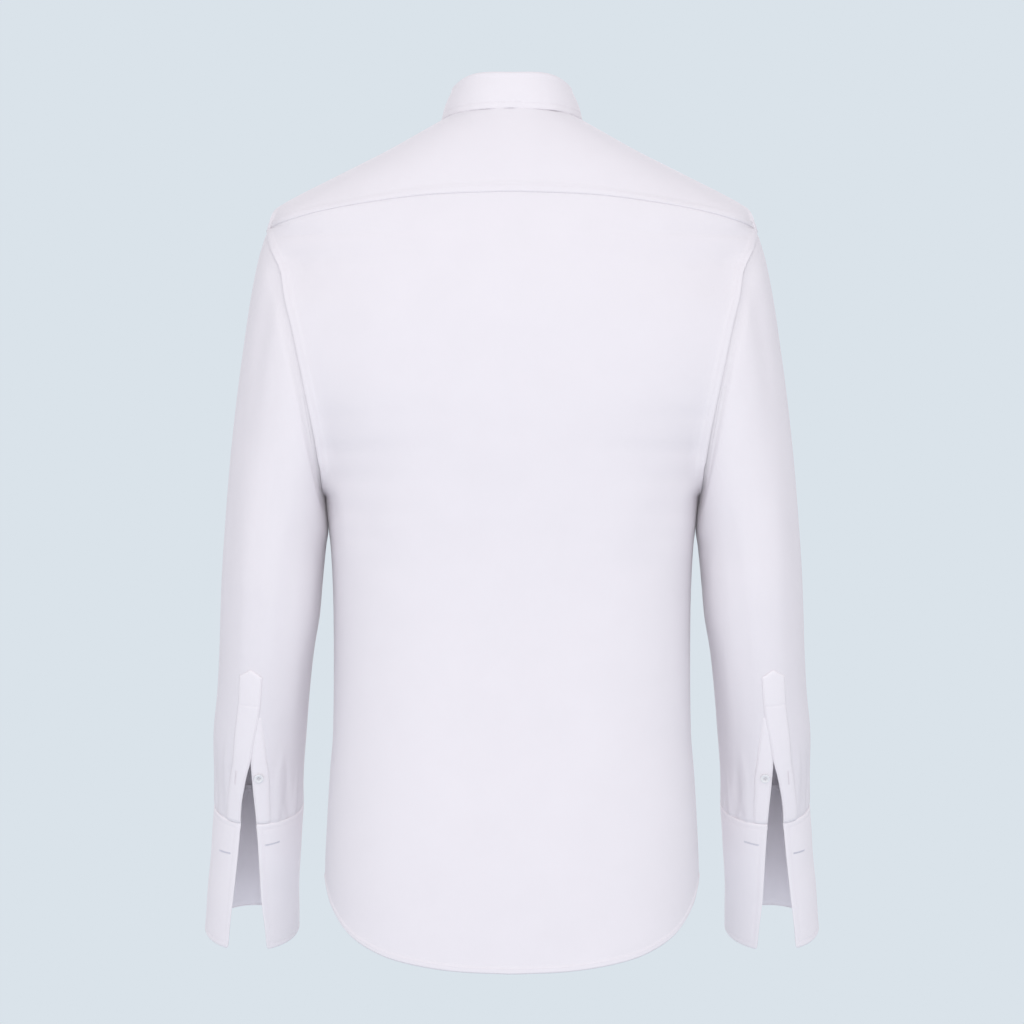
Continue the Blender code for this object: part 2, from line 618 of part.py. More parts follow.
def fallSpot(turn, share):
    # share 0..1 over the fold, 1..2 down the leaf
    if share <= 1:
        slope = standBase(turn + 4) - standBase(turn - 4)
        steep = abs(slope[2]) / np.linalg.norm(slope[:2])
        at = share * (len(foldProfile) - 1)
        i = min(int(at), len(foldProfile) - 2)
        out = foldProfile[i][0] * (i + 1 - at) + foldProfile[i + 1][0] * (at - i)
        up = foldProfile[i][1] * (i + 1 - at) + foldProfile[i + 1][1] * (at - i)
        return standSpot(turn, 1.0, out) + np.array((0, 0, up + 0.0005 + 0.0020 * min(steep, 1.2)))
    start = fallSpot(turn, 1.0)
    mirror = turn > 90
    key = 180 - turn if mirror else turn
    edge = rowAt(fallEdge, 0, key)[1:]
    if mirror:
        edge = edge * (-1, 1, 1)
    t = share - 1
    swell = 0.0025 * math.sin(math.pi * t)
    way = unit(np.array((start[0], start[1] + 0.004, 0)))
    return start * (1 - t) + edge * t + way * swell


fallGrid = np.array([[fallSpot(t, s) for t in fallTurns] for s in (0, 0.33, 0.67, 1.0, 1.34, 1.67, 2.0)])
fallNormals = unit(gridNormals(fallGrid))
if fallNormals[3, len(fallTurns) // 2][1] < 0:
    fallNormals = -fallNormals
panel("collar_fall", fallGrid, fallNormals, makeMaterial("cotton_fall", cotton, 0.75, 0.2),
      pulls=(0, 0, 0, 0))


def makeButton(name, centre, way, radius, height, material):
    # a disc with a dished face and rounded rim, standing on `centre`, facing `way`
    way = unit(np.array(way, float))
    side = unit(np.cross(way, (0.0, 0.0, 1.0)))
    up = np.cross(side, way)
    profile = ((0.0, 0.0), (0.78, 0.0), (1.0, 0.35), (1.0, 0.65), (0.9, 1.0), (0.72, 0.92),
               (0.62, 0.72), (0.0, 0.72))
    steps = 24
    points, faces = [], []
    for r, h in profile:
        if r == 0:
            points.append(centre + way * h * height)
            continue
        for i in range(steps):
            a = 2 * math.pi * i / steps
            points.append(centre + (side * math.cos(a) + up * math.sin(a)) * r * radius + way * h * height)
    for i in range(steps):
        faces.append((0, 1 + (i + 1) % steps, 1 + i))
    for ring in range(len(profile) - 3):
        a, b = 1 + ring * steps, 1 + (ring + 1) * steps
        for i in range(steps):
            j = (i + 1) % steps
            faces.append((a + i, a + j, b + j, b + i))
    last, top = 1 + (len(profile) - 3) * steps, len(points) - 1
    for i in range(steps):
        faces.append((last + i, last + (i + 1) % steps, top))
    mesh = bpy.data.meshes.new(name)
    mesh.from_pydata([tuple(p) for p in points], [], faces)
    work = bmesh.new()
    work.from_mesh(mesh)
    if work.calc_volume(signed=True) < 0:
        bmesh.ops.reverse_faces(work, faces=work.faces)
    work.to_mesh(mesh)
    work.free()
    mesh.polygons.foreach_set("use_smooth", [True] * len(mesh.polygons))
    mesh.materials.append(material)
    item = bpy.data.objects.new(name, mesh)
    bpy.context.scene.collection.objects.link(item)
    return item


frontLift = (0.0003, -0.0006, 0.0003, 0.0003, 0.0003, 0.0003, 0.0003)
for i, z in enumerate(frontButtonZ):
    angle = angleOfX(0.0, z, -1)
    normal = bodyNormal(angle, z, -1)
    makeButton("button_front_%d" % (i + 1), bodyPoint(angle, z, -1) + normal * frontLift[i], normal,
               buttonRadius, buttonHeight, makeMaterial("pearl_front_%d" % (i + 1), (0.9, 0.89, 0.86), 0.25))
standSpotFront = standSpot(-90, 0.5)
standWay = standNormals[1, standTurns.index(-90)]
makeButton("button_collar", standSpotFront + standWay * 0.0005, standWay, buttonRadius, buttonHeight,
           makeMaterial("pearl_collar", (0.9, 0.89, 0.86), 0.25))
buttonZ = -0.5873
onBinding = ringPoint(sleeveRows, buttonZ, slitTurns(buttonZ)[1] + 8.0,
                      trimGap + 0.0004 + wall + 0.0004)
centre = (ringPoint(sleeveRows, buttonZ, 0) + ringPoint(sleeveRows, buttonZ, 180)) / 2
buttonWay = unit(onBinding - centre)
for side, sign in (("left", 1), ("right", -1)):
    makeButton("button_placket_" + side, onBinding * (sign, 1, 1), buttonWay * (sign, 1, 1),
               smallButtonRadius, 0.0022, makeMaterial("pearl_placket_" + side, (0.9, 0.89, 0.86), 0.25))
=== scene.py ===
import math
import bpy
import bmesh
import numpy as np
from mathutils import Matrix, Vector


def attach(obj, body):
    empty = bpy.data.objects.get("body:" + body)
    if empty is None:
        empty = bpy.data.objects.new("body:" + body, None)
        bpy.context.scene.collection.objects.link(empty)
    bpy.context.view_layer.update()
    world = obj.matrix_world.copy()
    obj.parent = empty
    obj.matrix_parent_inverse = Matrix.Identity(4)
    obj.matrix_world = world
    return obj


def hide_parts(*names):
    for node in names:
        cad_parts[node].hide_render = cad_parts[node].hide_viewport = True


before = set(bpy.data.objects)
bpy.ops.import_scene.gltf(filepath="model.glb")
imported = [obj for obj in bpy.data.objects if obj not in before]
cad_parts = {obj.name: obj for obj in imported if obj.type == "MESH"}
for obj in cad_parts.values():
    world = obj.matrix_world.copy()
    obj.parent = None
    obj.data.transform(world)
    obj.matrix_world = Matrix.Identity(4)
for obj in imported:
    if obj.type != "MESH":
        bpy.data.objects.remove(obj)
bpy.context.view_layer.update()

# A long sleeve dress shirt with open double cuffs, filled out as worn.
# Origin at the neck base, +Z up, +Y to the back, +X to the wearer's left, metres.

cut = {  # sizes and form shared by every cloth piece
    "cloth": 0.0007,            # thickness of the shown cloth
    "armpit": -0.345, "shoulder": -0.100, "armholeTop": -0.1035, "armholeDepth": 0.084,
    "neckHalf": 0.060, "neckBack": 0.0115, "neckSide": 0.003, "neckFront": -0.052,
    "overlap": 0.016,           # each front passes the centre line by this
    # z, half width, back, front, power of the ring
    "body": (
        (0.0200, 0.0500, 0.0530, 0.0520, 2.0), (0.0115, 0.0555, 0.0580, 0.0550, 2.0),
        (0.0030, 0.0600, 0.0625, 0.0590, 2.0), (-0.0076, 0.0785, 0.0690, 0.0615, 2.0),
        (-0.0260, 0.1141, 0.0790, 0.0660, 2.05), (-0.0444, 0.1523, 0.0870, 0.0700, 2.1),
        (-0.0628, 0.1909, 0.0935, 0.0765, 2.15), (-0.0720, 0.2060, 0.0965, 0.0800, 2.2),
        (-0.0812, 0.2185, 0.0990, 0.0845, 2.2), (-0.0905, 0.2240, 0.1015, 0.0895, 2.25),
        (-0.1000, 0.2245, 0.1040, 0.0945, 2.3), (-0.1200, 0.2190, 0.1085, 0.1035, 2.4),
        (-0.1400, 0.2095, 0.1120, 0.1110, 2.5), (-0.1670, 0.2045, 0.1150, 0.1180, 2.6),
        (-0.1940, 0.1977, 0.1165, 0.1225, 2.6), (-0.2480, 0.1864, 0.1155, 0.1260, 2.6),
        (-0.3030, 0.1764, 0.1105, 0.1250, 2.6), (-0.3570, 0.1702, 0.1035, 0.1215, 2.6),
        (-0.3940, 0.1658, 0.0990, 0.1190, 2.6), (-0.4580, 0.1633, 0.0950, 0.1165, 2.55),
        (-0.5600, 0.1638, 0.0980, 0.1160, 2.5), (-0.5960, 0.1665, 0.1005, 0.1165, 2.5),
        (-0.6330, 0.1688, 0.1030, 0.1170, 2.5), (-0.6880, 0.1711, 0.1055, 0.1175, 2.5),
        (-0.7900, 0.1700, 0.1070, 0.1175, 2.5)),
    # share of the half width, back tail, front tail
    "hem": ((0.00, -0.7715, -0.7500), (0.32, -0.7690, -0.7480), (0.58, -0.7622, -0.7412),
            (0.73, -0.7540, -0.7328), (0.87, -0.7390, -0.7200), (0.96, -0.7170, -0.7060),
            (1.00, -0.6960, -0.6960)),
    # degrees from the side, drop of the yoke seam below its middle
    "yokeSeam": ((0, 0.0313), (11, 0.0280), (27, 0.0230), (47, 0.0127), (70, 0.0030), (90, 0.0)),
    # how the shoulder rounds over a straight line from neck to armhole: share of the way, rise
    "rise": ((0.0, 0.0), (0.16, 0.0002), (0.34, 0.0014), (0.52, 0.0056), (0.68, 0.0098), (0.82, 0.0138),
             (0.92, 0.0154), (0.97, 0.0128), (1.0, 0.0)),
    # outer z, outer x, inner x, inner z, y, depth, lean
    "sleeve": (
        (-0.1000, 0.2245, 0.1695, -0.3450, 0.0000, 0.0760, 0.0),
        (-0.1280, 0.2330, 0.1690, -0.3520, 0.0000, 0.0765, 0.0),
        (-0.1650, 0.2405, 0.1686, -0.3600, 0.0000, 0.0760, 0.0),
        (-0.2100, 0.2470, 0.1686, -0.3680, 0.0000, 0.0750, 0.0),
        (-0.2620, 0.2535, 0.1690, -0.3780, 0.0000, 0.0730, 0.0),
        (-0.3180, 0.2595, 0.1710, -0.3900, 0.0000, 0.0705, 1.0),
        (-0.3720, 0.2640, 0.1728, -0.4070, -0.0010, 0.0680, 2.0),
        (-0.4150, 0.2668, 0.1748, -0.4290, -0.0030, 0.0660, 5.0),
        (-0.4500, 0.2682, 0.1772, -0.4550, -0.0080, 0.0630, 9.0),
        (-0.4870, 0.2697, 0.1827, -0.4870, -0.0153, 0.0590, 13.0),
        (-0.5244, 0.2727, 0.1872, -0.5244, -0.0257, 0.0550, 17.0),
        (-0.5624, 0.2776, 0.1908, -0.5624, -0.0384, 0.0508, 20.0),
        (-0.6005, 0.2784, 0.1942, -0.6005, -0.0530, 0.0468, 21.5),
        (-0.6320, 0.2787, 0.1952, -0.6320, -0.0657, 0.0440, 22.0)),
    "cuff": (
        (-0.6320, 0.2787, 0.1952, -0.6320, -0.0657, 0.0440, 22.0),
        (-0.6720, 0.2822, 0.1983, -0.6720, -0.0818, 0.0448, 22.0),
        (-0.7130, 0.2871, 0.2015, -0.7130, -0.0984, 0.0457, 22.0),
        (-0.7537, 0.2912, 0.2021, -0.7537, -0.1149, 0.0465, 22.0)),
    # outer z, free edge of the tower strip, free edge of the binding, in degrees round the sleeve
    "slit": ((-0.4956, 90.0, 83.0), (-0.5225, 89.9, 83.0), (-0.5458, 86.9, 83.0), (-0.5709, 83.0, 83.0),
             (-0.5885, 77.4, 85.1), (-0.6150, 71.2, 88.6), (-0.6320, 69.6, 90.4)),
    # share down the cuff, tower side, binding side, in degrees
    "cuffSlit": ((0.0, 69.5, 90.4), (0.355, 67.3, 97.5), (0.62, 66.2, 103.4), (0.82, 64.3, 108.4),
                 (1.0, 63.0, 111.5)),
}


def tableAt(rows, values):
    # smooth interpolation of a table by its first column, for any array of values
    table = np.array(rows, float)
    table = table[np.argsort(table[:, 0], kind="stable")]
    keys = table[:, 0]
    values = np.clip(np.asarray(values, float), keys[0], keys[-1])
    i = np.clip(np.searchsorted(keys, values) - 1, 0, len(keys) - 2)
    span = (keys[i + 1] - keys[i])[..., None]
    t = (values[..., None] - keys[i][..., None]) / span
    low, high = table[i], table[i + 1]
    before, after = np.maximum(i - 1, 0), np.minimum(i + 2, len(keys) - 1)
    slopeLow = (high - table[before]) / (keys[i + 1] - keys[before])[..., None]
    slopeHigh = (table[after] - low) / (keys[after] - keys[i])[..., None]
    return ((2 * t**3 - 3 * t**2 + 1) * low + (t**3 - 2 * t**2 + t) * span * slopeLow
            + (-2 * t**3 + 3 * t**2) * high + (t**3 - t**2) * span * slopeHigh)


def unit(v):
    return v / np.maximum(np.linalg.norm(v, axis=-1, keepdims=True), 1e-12)


def smooth(t):
    t = np.clip(t, 0.0, 1.0)
    return t * t * (3 - 2 * t)


def holeDepth(z):
    middle, half = (cut["shoulder"] + cut["armpit"]) / 2, (cut["shoulder"] - cut["armpit"]) / 2
    t = np.clip(np.abs((z - middle) / half), 0, 1)
    return cut["armholeDepth"] * (1 - t**2.1) ** 0.48


def bodyPoint(angle, z, side):
    angle, z = np.broadcast_arrays(np.asarray(angle, float), np.asarray(z, float))
    row = tableAt(cut["body"], z)
    half, deep, power = row[..., 1], row[..., 2] if side > 0 else row[..., 3], row[..., 4]
    c, s = np.cos(np.radians(angle)), np.abs(np.sin(np.radians(angle)))
    # the armhole's own curve at the side, a slower one across the panel, so no crease runs over it
    slow = sum(w * holeDepth(z + d) for w, d in ((0.1, -0.075), (0.2, -0.045), (0.2, -0.02), (0.2, 0.01),
                                                 (0.2, 0.035), (0.1, 0.06)))
    nearSide = np.abs((angle + 90) % 180 - 90)
    hole = holeDepth(z) + (slow - holeDepth(z)) * smooth(nearSide / 30)
    x = np.sign(c) * half * np.abs(c) ** (2 / power)
    # flatter towards the armhole, so the panel faces square to the back right up to its seam
    blunt = 1 / power + (0.85 - 1 / power) * smooth((z - cut["armpit"] + 0.05) / 0.11) * smooth(
        (-0.05 - z) / 0.10)
    y = side * (hole + (deep - hole) * s ** (2 * blunt))
    return np.stack((x, y, z), axis=-1)


def angleOfX(x, z, side):
    row = tableAt(cut["body"], z)
    c = np.sign(x) * np.minimum(np.abs(x) / row[..., 1], 1.0) ** (row[..., 4] / 2)
    angle = np.degrees(np.arccos(np.clip(c, -1, 1)))
    return angle if side > 0 else 360 - angle


def hemZ(angle, side):
    share = np.abs(np.cos(np.radians(angle))) ** (2 / 2.5)
    return tableAt(cut["hem"], share)[..., 1 if side > 0 else 2]


def yokeSeamZ(angle):
    return -0.0722 - tableAt(cut["yokeSeam"], 90 - np.abs(np.asarray(angle, float) - 90))[..., 1]


def neckSpot(turn):
    # a point of the neck curve as ring angle, height and side; turn 0 left side, 90 back, -90 front
    c, s = math.cos(math.radians(turn)), math.sin(math.radians(turn))
    x = cut["neckHalf"] * c
    if 0 <= turn <= 180:
        z = cut["neckSide"] + (cut["neckBack"] - cut["neckSide"]) * s * s
        return float(angleOfX(x, z, 1)), z, 1
    z = cut["neckFront"] if turn < -90 or turn > 270 else cut["neckSide"] + (
        cut["neckFront"] - cut["neckSide"]) * abs(s) ** 1.2
    return float(angleOfX(x, z, -1)), z, -1


def ringPoint(rows, key, turn, out=0.0):
    # a point of a sleeve or cuff ring: 0 outer side, 90 back, 180 body side, 270 front
    key, turn, out = np.broadcast_arrays(*[np.asarray(v, float) for v in (key, turn, out)])
    row = tableAt(rows, key)
    outerZ, outerX, innerX, innerZ, y, depth = [row[..., i] for i in range(6)]
    lean = np.radians(row[..., 6])
    c, s = np.cos(np.radians(turn)), np.sin(np.radians(turn))
    zero = np.zeros_like(c)
    middle = np.stack(((outerX + innerX) / 2, y, (outerZ + innerZ) / 2), axis=-1)
    across = np.stack(((outerX - innerX) / 2, zero, (outerZ - innerZ) / 2), axis=-1)
    back = np.stack((zero, np.cos(lean), -np.sin(lean)), axis=-1)
    grow = 1 + out / np.linalg.norm(across, axis=-1)
    return middle + across * (grow * c)[..., None] + back * ((depth + out) * s)[..., None]


def gridNormals(grid):
    return unit(np.cross(np.gradient(grid, axis=1), np.gradient(grid, axis=0)))


def foldField(spot, folds, reach=0.2):
    # soft ridges and troughs, one row each: start, end, width, height
    total = np.zeros(spot.shape[:-1])
    for x0, z0, x1, z1, width, height in folds:
        start, way = np.array((x0, z0)), np.array((x1 - x0, z1 - z0))
        t = ((spot - start) @ way) / (way @ way)
        far = np.linalg.norm(spot - start - np.clip(t, 0, 1)[..., None] * way, axis=-1)
        total += height * np.exp(-(far / width) ** 2) * smooth((np.minimum(t, 1 - t) + reach) / 0.5)
    return total


def waves(points, size, height, seed):
    # slow uneven swelling of a cloth, from a few fixed sines
    rng = np.random.RandomState(seed)
    total = np.zeros(points.shape[:-1])
    for _ in range(7):
        way = rng.normal(size=3)
        way = way / np.linalg.norm(way) * (2 * math.pi / (size * rng.uniform(0.7, 1.6)))
        total += np.sin(points @ way + rng.uniform(0, 6.28)) * rng.uniform(0.5, 1.0)
    return height * total / 4

def runLength(points, axis=0):
    # length along rows of points, from their start
    steps = np.linalg.norm(np.diff(points, axis=axis), axis=-1)
    return np.insert(np.cumsum(steps, axis=axis), 0, 0, axis=axis)


def edgeDistance(grid, *edges):
    # length along the cloth from the nearest of the named edges: low, high, left, right
    runs = []
    for edge in edges:
        axis = 0 if edge in ("low", "high") else 1
        if edge in ("low", "left"):
            runs.append(runLength(grid, axis))
        else:
            runs.append(np.flip(runLength(np.flip(grid, axis), axis), axis))
    return np.minimum.reduce(runs)


def newObject(name, data):
    item = bpy.data.objects.new(name, data)
    bpy.context.scene.collection.objects.link(item)
    return item


def smoothFaces(mesh):
    mesh.polygons.foreach_set("use_smooth", [True] * len(mesh.polygons))


def clothFromGrid(name, grid, material, thickness=cut["cloth"], inside=None):
    # a grid of points as a shell of cloth, with a UV map in metres along the threads
    rows, columns = grid.shape[:2]
    ids = np.arange(rows * columns).reshape(rows, columns)
    faces = np.stack((ids[:-1, :-1], ids[:-1, 1:], ids[1:, 1:], ids[1:, :-1]), axis=-1).reshape(-1, 4)
    mesh = bpy.data.meshes.new(name)
    mesh.from_pydata(grid.reshape(-1, 3).tolist(), [], faces.tolist())
    along = edgeDistance(grid, "left")
    along = along - along[:, columns // 2][:, None]
    down = np.repeat(runLength(grid[:, columns // 2]), columns)
    corners = faces.reshape(-1)
    uv = np.stack((along.reshape(-1)[corners], down[corners]), axis=-1)
    mesh.uv_layers.new(name="threads").data.foreach_set("uv", uv.reshape(-1))
    smoothFaces(mesh)
    mesh.materials.append(material)
    piece = newObject(name, mesh)
    wall = piece.modifiers.new("wall", "SOLIDIFY")
    wall.thickness, wall.offset, wall.use_even_offset = thickness, -1, False
    if inside:
        mesh.materials.append(inside)
        wall.material_offset = 1
    return piece


def mirrored(grid):
    return grid[:, ::-1] * (-1, 1, 1)


def clothPair(name, grid, material, **more):
    # a piece on the wearer's left and its mirror image on the right
    return [clothFromGrid(name + side + "Cloth", shape, material, **more)
            for side, shape in (("Left", grid), ("Right", mirrored(grid)))]


def raised(grid, lift):
    # the cloth moved out along its own normals
    return grid + gridNormals(grid) * lift[..., None]


def mergePiece(piece, distance=0.00002):
    # closes the ring of a sleeve above its opening
    work = bmesh.new()
    work.from_mesh(piece.data)
    bmesh.ops.remove_doubles(work, verts=work.verts, dist=distance)
    work.to_mesh(piece.data)
    work.free()


def spacing(stops):
    # positions 0..1 from a list of (start, end, step) in metres, as shares of the whole length
    total = stops[-1][1]
    out = []
    for start, end, step in stops:
        count = max(1, int(round((end - start) / step)))
        out += [start + (end - start) * i / count for i in range(count)]
    return np.array(out + [total]) / total

def addNode(tree, kind, inputs=(), **settings):
    # a node with its settings; each input is a value, the output of another node, or a list of these
    node = tree.nodes.new(kind)
    for label, value in settings.items():
        setattr(node, label, value)
    for label, value in dict(inputs).items():
        for source in value if isinstance(value, list) else [value]:
            if isinstance(source, bpy.types.NodeSocket):
                tree.links.new(source, node.inputs[label])
            else:
                node.inputs[label].default_value = source
    return node


def maths(tree, operation, *values):
    return addNode(tree, "ShaderNodeMath", enumerate(values), operation=operation).outputs[0]


def spanned(tree, value, source, target):
    # a value moved from one span of numbers to another
    return addNode(tree, "ShaderNodeMapRange", {
        "Value": value, "From Min": source[0], "From Max": source[1],
        "To Min": target[0], "To Max": target[1]}).outputs[0]


def newMaterial(name, values):
    material = bpy.data.materials.new(name)
    material.use_nodes = True
    shader = material.node_tree.nodes["Principled BSDF"]
    for label, value in values.items():
        shader.inputs[label].default_value = value
    return material, material.node_tree, shader


def weaveMaterial(name, tint, thread=0.00030, strength=0.35):
    # a fine plain weave: threads both ways from the piece's own UV map, slubs and a faint cloudiness
    material, tree, shader = newMaterial(name, {"Sheen Weight": 0.12, "Sheen Roughness": 0.45,
                                                "Specular IOR Level": 0.28})
    uv = addNode(tree, "ShaderNodeUVMap", uv_map="threads").outputs["UV"]
    split = addNode(tree, "ShaderNodeSeparateXYZ", {0: uv})
    turns = 2 * math.pi / thread
    warp, weft = [maths(tree, "SINE", maths(tree, "MULTIPLY", split.outputs[axis], turns)) for axis in "XY"]
    weave = maths(tree, "MULTIPLY", warp, weft)                 # over and under
    stretch = addNode(tree, "ShaderNodeMapping", {"Vector": uv, "Scale": (1400, 90, 1)})
    slub = addNode(tree, "ShaderNodeTexNoise", {"Vector": stretch.outputs["Vector"], "Scale": 1,
                                                "Detail": 3}).outputs["Fac"]
    place = addNode(tree, "ShaderNodeTexCoord").outputs["Object"]
    cloud = addNode(tree, "ShaderNodeTexNoise", {"Vector": place, "Scale": 26, "Detail": 4}).outputs["Fac"]
    shade = spanned(tree, cloud, (0.3, 0.7), (0.985, 1.0))
    uneven = maths(tree, "ADD", maths(tree, "MULTIPLY", weave, 0.6), maths(tree, "SUBTRACT", slub, 0.5))
    grain = spanned(tree, uneven, (-1.0, 1.0), (0.975, 1.0))
    colour = addNode(tree, "ShaderNodeMix", {0: 1, 6: (*tint, 1), 7: maths(tree, "MULTIPLY", shade, grain)},
                     data_type="RGBA", blend_type="MULTIPLY")
    height = maths(tree, "ADD", weave, maths(tree, "MULTIPLY", slub, 1.2))
    bump = addNode(tree, "ShaderNodeBump", {"Strength": strength, "Distance": 0.00006, "Height": height})
    tree.links.new(colour.outputs[2], shader.inputs["Base Color"])
    tree.links.new(bump.outputs["Normal"], shader.inputs["Normal"])
    tree.links.new(spanned(tree, slub, (0, 1), (0.76, 0.88)), shader.inputs["Roughness"])
    return material


def pearlMaterial(name, tint):
    material, tree, shader = newMaterial(name, {"Roughness": 0.22, "Coat Weight": 0.5,
                                                "Coat Roughness": 0.08})
    place = addNode(tree, "ShaderNodeTexCoord").outputs["Object"]
    noise = addNode(tree, "ShaderNodeTexNoise", {"Vector": place, "Scale": 420, "Detail": 3,
                                                 "Distortion": 1.6})
    ramp = addNode(tree, "ShaderNodeValToRGB", {"Fac": noise.outputs["Fac"]})
    ends = ramp.color_ramp.elements
    ends[0].position, ends[1].position = 0.35, 0.68
    ends[0].color, ends[1].color = (tint[0] * 0.86, tint[1] * 0.88, tint[2] * 0.93, 1), (*tint, 1)
    tree.links.new(ramp.outputs["Color"], shader.inputs["Base Color"])
    return material

cotton = weaveMaterial("poplin", (0.808, 0.776, 0.806))
cottonFused = weaveMaterial("poplin on interlining", (0.815, 0.783, 0.812), strength=0.25)
# painted light: the cuffs and the slit strips use a lighter tint of the same poplin, which stands in for the
# light they lose by leaning down
cottonCuffPaintedLighter = weaveMaterial("poplin on interlining, painted lighter", (0.860, 0.824, 0.850), strength=0.25)
cottonInside = weaveMaterial("poplin inside", (0.93, 0.89, 0.925))       # light comes through the thin cloth

seams = {"band": 0.008, "bandHeight": 0.0006, "edgeRoll": 0.0012, "sideBand": 0.006, "sideHeight": 0.0004,
         "hemBand": 0.0055, "hemHeight": 0.0007}


def band(distance, width, height, soft=0.0012):
    # a raised strip along an edge, where the cloth lies double, rolled down at the very edge
    rise = smooth((width - distance) / soft + 0.5)
    roll = 1 - 1.4 * (1 - smooth(distance / seams["edgeRoll"]))
    return height * rise * roll


def groove(distance, where, depth, width=0.0009):
    # a line of stitches pulled into the cloth
    return -depth * np.exp(-((distance - where) / width) ** 2)


def rolled(distance, drop, width):
    # the cloth rounded down towards its edge
    return -drop * (1 - smooth(distance / width))


def armholeShare(grid):
    # 1 beside the armhole, 0 below the armpit
    return smooth((grid[..., 2] - cut["armpit"] + 0.004) / 0.008)


def sideLift(grid, distance):
    # the seam of the armhole and of the side, each a raised strip
    share = armholeShare(grid)
    return (band(distance, seams["band"], seams["bandHeight"]) * share
            + band(distance, seams["sideBand"], seams["sideHeight"]) * (1 - share))

print("body")
back = {
    "columns": 120,
    # length down the cloth and step, in metres, from the hem up to the armpit
    "lowRows": ((0.0, 0.004, 0.0005), (0.004, 0.012, 0.001), (0.012, 0.40, 0.006)),
    "highRows": ((0.0, 0.205, 0.005), (0.205, 0.235, 0.0015), (0.235, 0.243, 0.0006)),
    # x0, z0, x1, z1, width, height of soft folds
    "folds": (
        (0.150, -0.350, 0.100, -0.420, 0.020, -0.0016), (-0.148, -0.345, -0.104, -0.425, 0.021, -0.0018),
        (0.110, -0.250, 0.085, -0.600, 0.030, 0.0012), (-0.105, -0.260, -0.080, -0.580, 0.033, 0.0011),
        (0.020, -0.300, 0.010, -0.640, 0.040, -0.0009), (0.060, -0.650, 0.075, -0.730, 0.022, -0.0009),
        (-0.070, -0.640, -0.090, -0.735, 0.024, -0.0010), (0.000, -0.130, 0.004, -0.260, 0.050, 0.0008)),
}


def acrossShares(count, edge=0.012, fine=0.0008, length=0.46):
    # column positions 0..1, close together near both edges
    fineShares = np.arange(0, edge, fine) / length
    middle = np.linspace(edge / length, 1 - edge / length, count)
    return np.concatenate((fineShares, middle, 1 - fineShares[::-1]))


def bodyCloth(angles, lowShares, highShares, side, top):
    grid = []
    for t in lowShares[:-1]:
        grid.append(bodyPoint(angles, hemZ(angles, side) * (1 - t) + cut["armpit"] * t, side))
    for t in highShares:
        grid.append(bodyPoint(angles, cut["armpit"] * (1 - t) + top(angles) * t, side))
    return np.array(grid)

angles = 180 * acrossShares(back["columns"])
backGrid = bodyCloth(angles, spacing(back["lowRows"]), spacing(back["highRows"]), 1,
                     lambda a: yokeSeamZ(a) + 0.0045)
nearSide = edgeDistance(backGrid, "left", "right")
nearTop, nearHem = edgeDistance(backGrid, "high"), edgeDistance(backGrid, "low")
calm = smooth(nearSide / 0.05) * smooth(nearTop / 0.04) * smooth(nearHem / 0.02)
lift = calm * (foldField(backGrid[..., [0, 2]], back["folds"]) + waves(backGrid, 0.16, 0.0006, 3))
lift += sideLift(backGrid, nearSide) + band(nearHem, seams["hemBand"], seams["hemHeight"])
lift -= 0.0005 * smooth((0.0085 - nearTop) / 0.004)              # slips under the edge of the yoke
backGrid = raised(backGrid, lift)
backCloth = clothFromGrid("backCloth", backGrid, cotton)

yoke = {"columns": 110, "rows": ((0.0, 0.004, 0.0004), (0.004, 0.014, 0.0010), (0.014, 0.085, 0.003)),
        # how far the middle of the yoke stands out, by the turn round the neck
        "full": ((-11, 0.001), (8, 0.0018), (8.01, 0.002), (90, 0.006), (171.99, 0.002), (172, 0.0018),
                 (191, 0.001)),
        "easing": 24, "stitchBack": 0.0068, "stitchFront": 0.0045}
middleAngles = 180 * acrossShares(yoke["columns"], 0.010, 0.001, 0.5)
outer = [(360, z, -1) for z in np.linspace(cut["armholeTop"], -0.1008, 4)]
outer += [(0, z, 1) for z in np.linspace(-0.1, -0.1028, 5)]
outer += [(a, float(yokeSeamZ(a)), 1) for a in middleAngles]
outer += [(180, z, s) for a, z, s in outer[:9][::-1]]
outerLine = np.array([bodyPoint(a, z, s) for a, z, s in outer])
turns = np.concatenate((np.linspace(-11, -5, 4), np.linspace(0, 6, 5), 8 + 164 * middleAngles / 180,
                        np.linspace(174, 180, 5), np.linspace(185, 191, 4)))
neckLine = np.array([bodyPoint(*neckSpot(t)) for t in turns])
full = np.interp(turns, *np.transpose(yoke["full"]))
shares = 1 - spacing(yoke["rows"])
yokeGrid = np.array([neckLine * (1 - u) + outerLine * u for u in shares])
yokeGrid = raised(yokeGrid, (4 * shares * (1 - shares))[:, None] * full[None, :])
rise = np.maximum(tableAt(cut["rise"], shares)[:, 1], 0)
yokeGrid[..., 2] += rise[:, None] * (1 - smooth((np.minimum(turns, 180 - turns) - 8) / 42))[None, :]
loose = 0.5 * smooth(np.minimum(shares, 1 - shares) / 0.2)[:, None, None]
for _ in range(yoke["easing"]):                   # eases the ridge from the neck to the corner of the yoke
    yokeGrid[:, 1:-1] += loose * ((yokeGrid[:, :-2] + yokeGrid[:, 2:]) / 2 - yokeGrid[:, 1:-1])
yokeEdge, yokeEdgeShares = yokeGrid[::-1, 0].copy(), shares[::-1]
nearSeam, nearFront = edgeDistance(yokeGrid, "low"), edgeDistance(yokeGrid, "left", "right")
atBack = smooth((turns - 2) / 8) * smooth((178 - turns) / 8)
lift = (band(nearSeam, 0.0090, 0.0007, 0.003) + groove(nearSeam, yoke["stitchBack"], 0.0003)) * atBack
lift += band(nearSeam, seams["band"], 0.0005) * (1 - atBack)
lift += (band(nearFront, 0.006, 0.0005) + groove(nearFront, yoke["stitchFront"], 0.0003)) * smooth(
    nearSeam / 0.01)
yokeGrid = raised(yokeGrid, lift)
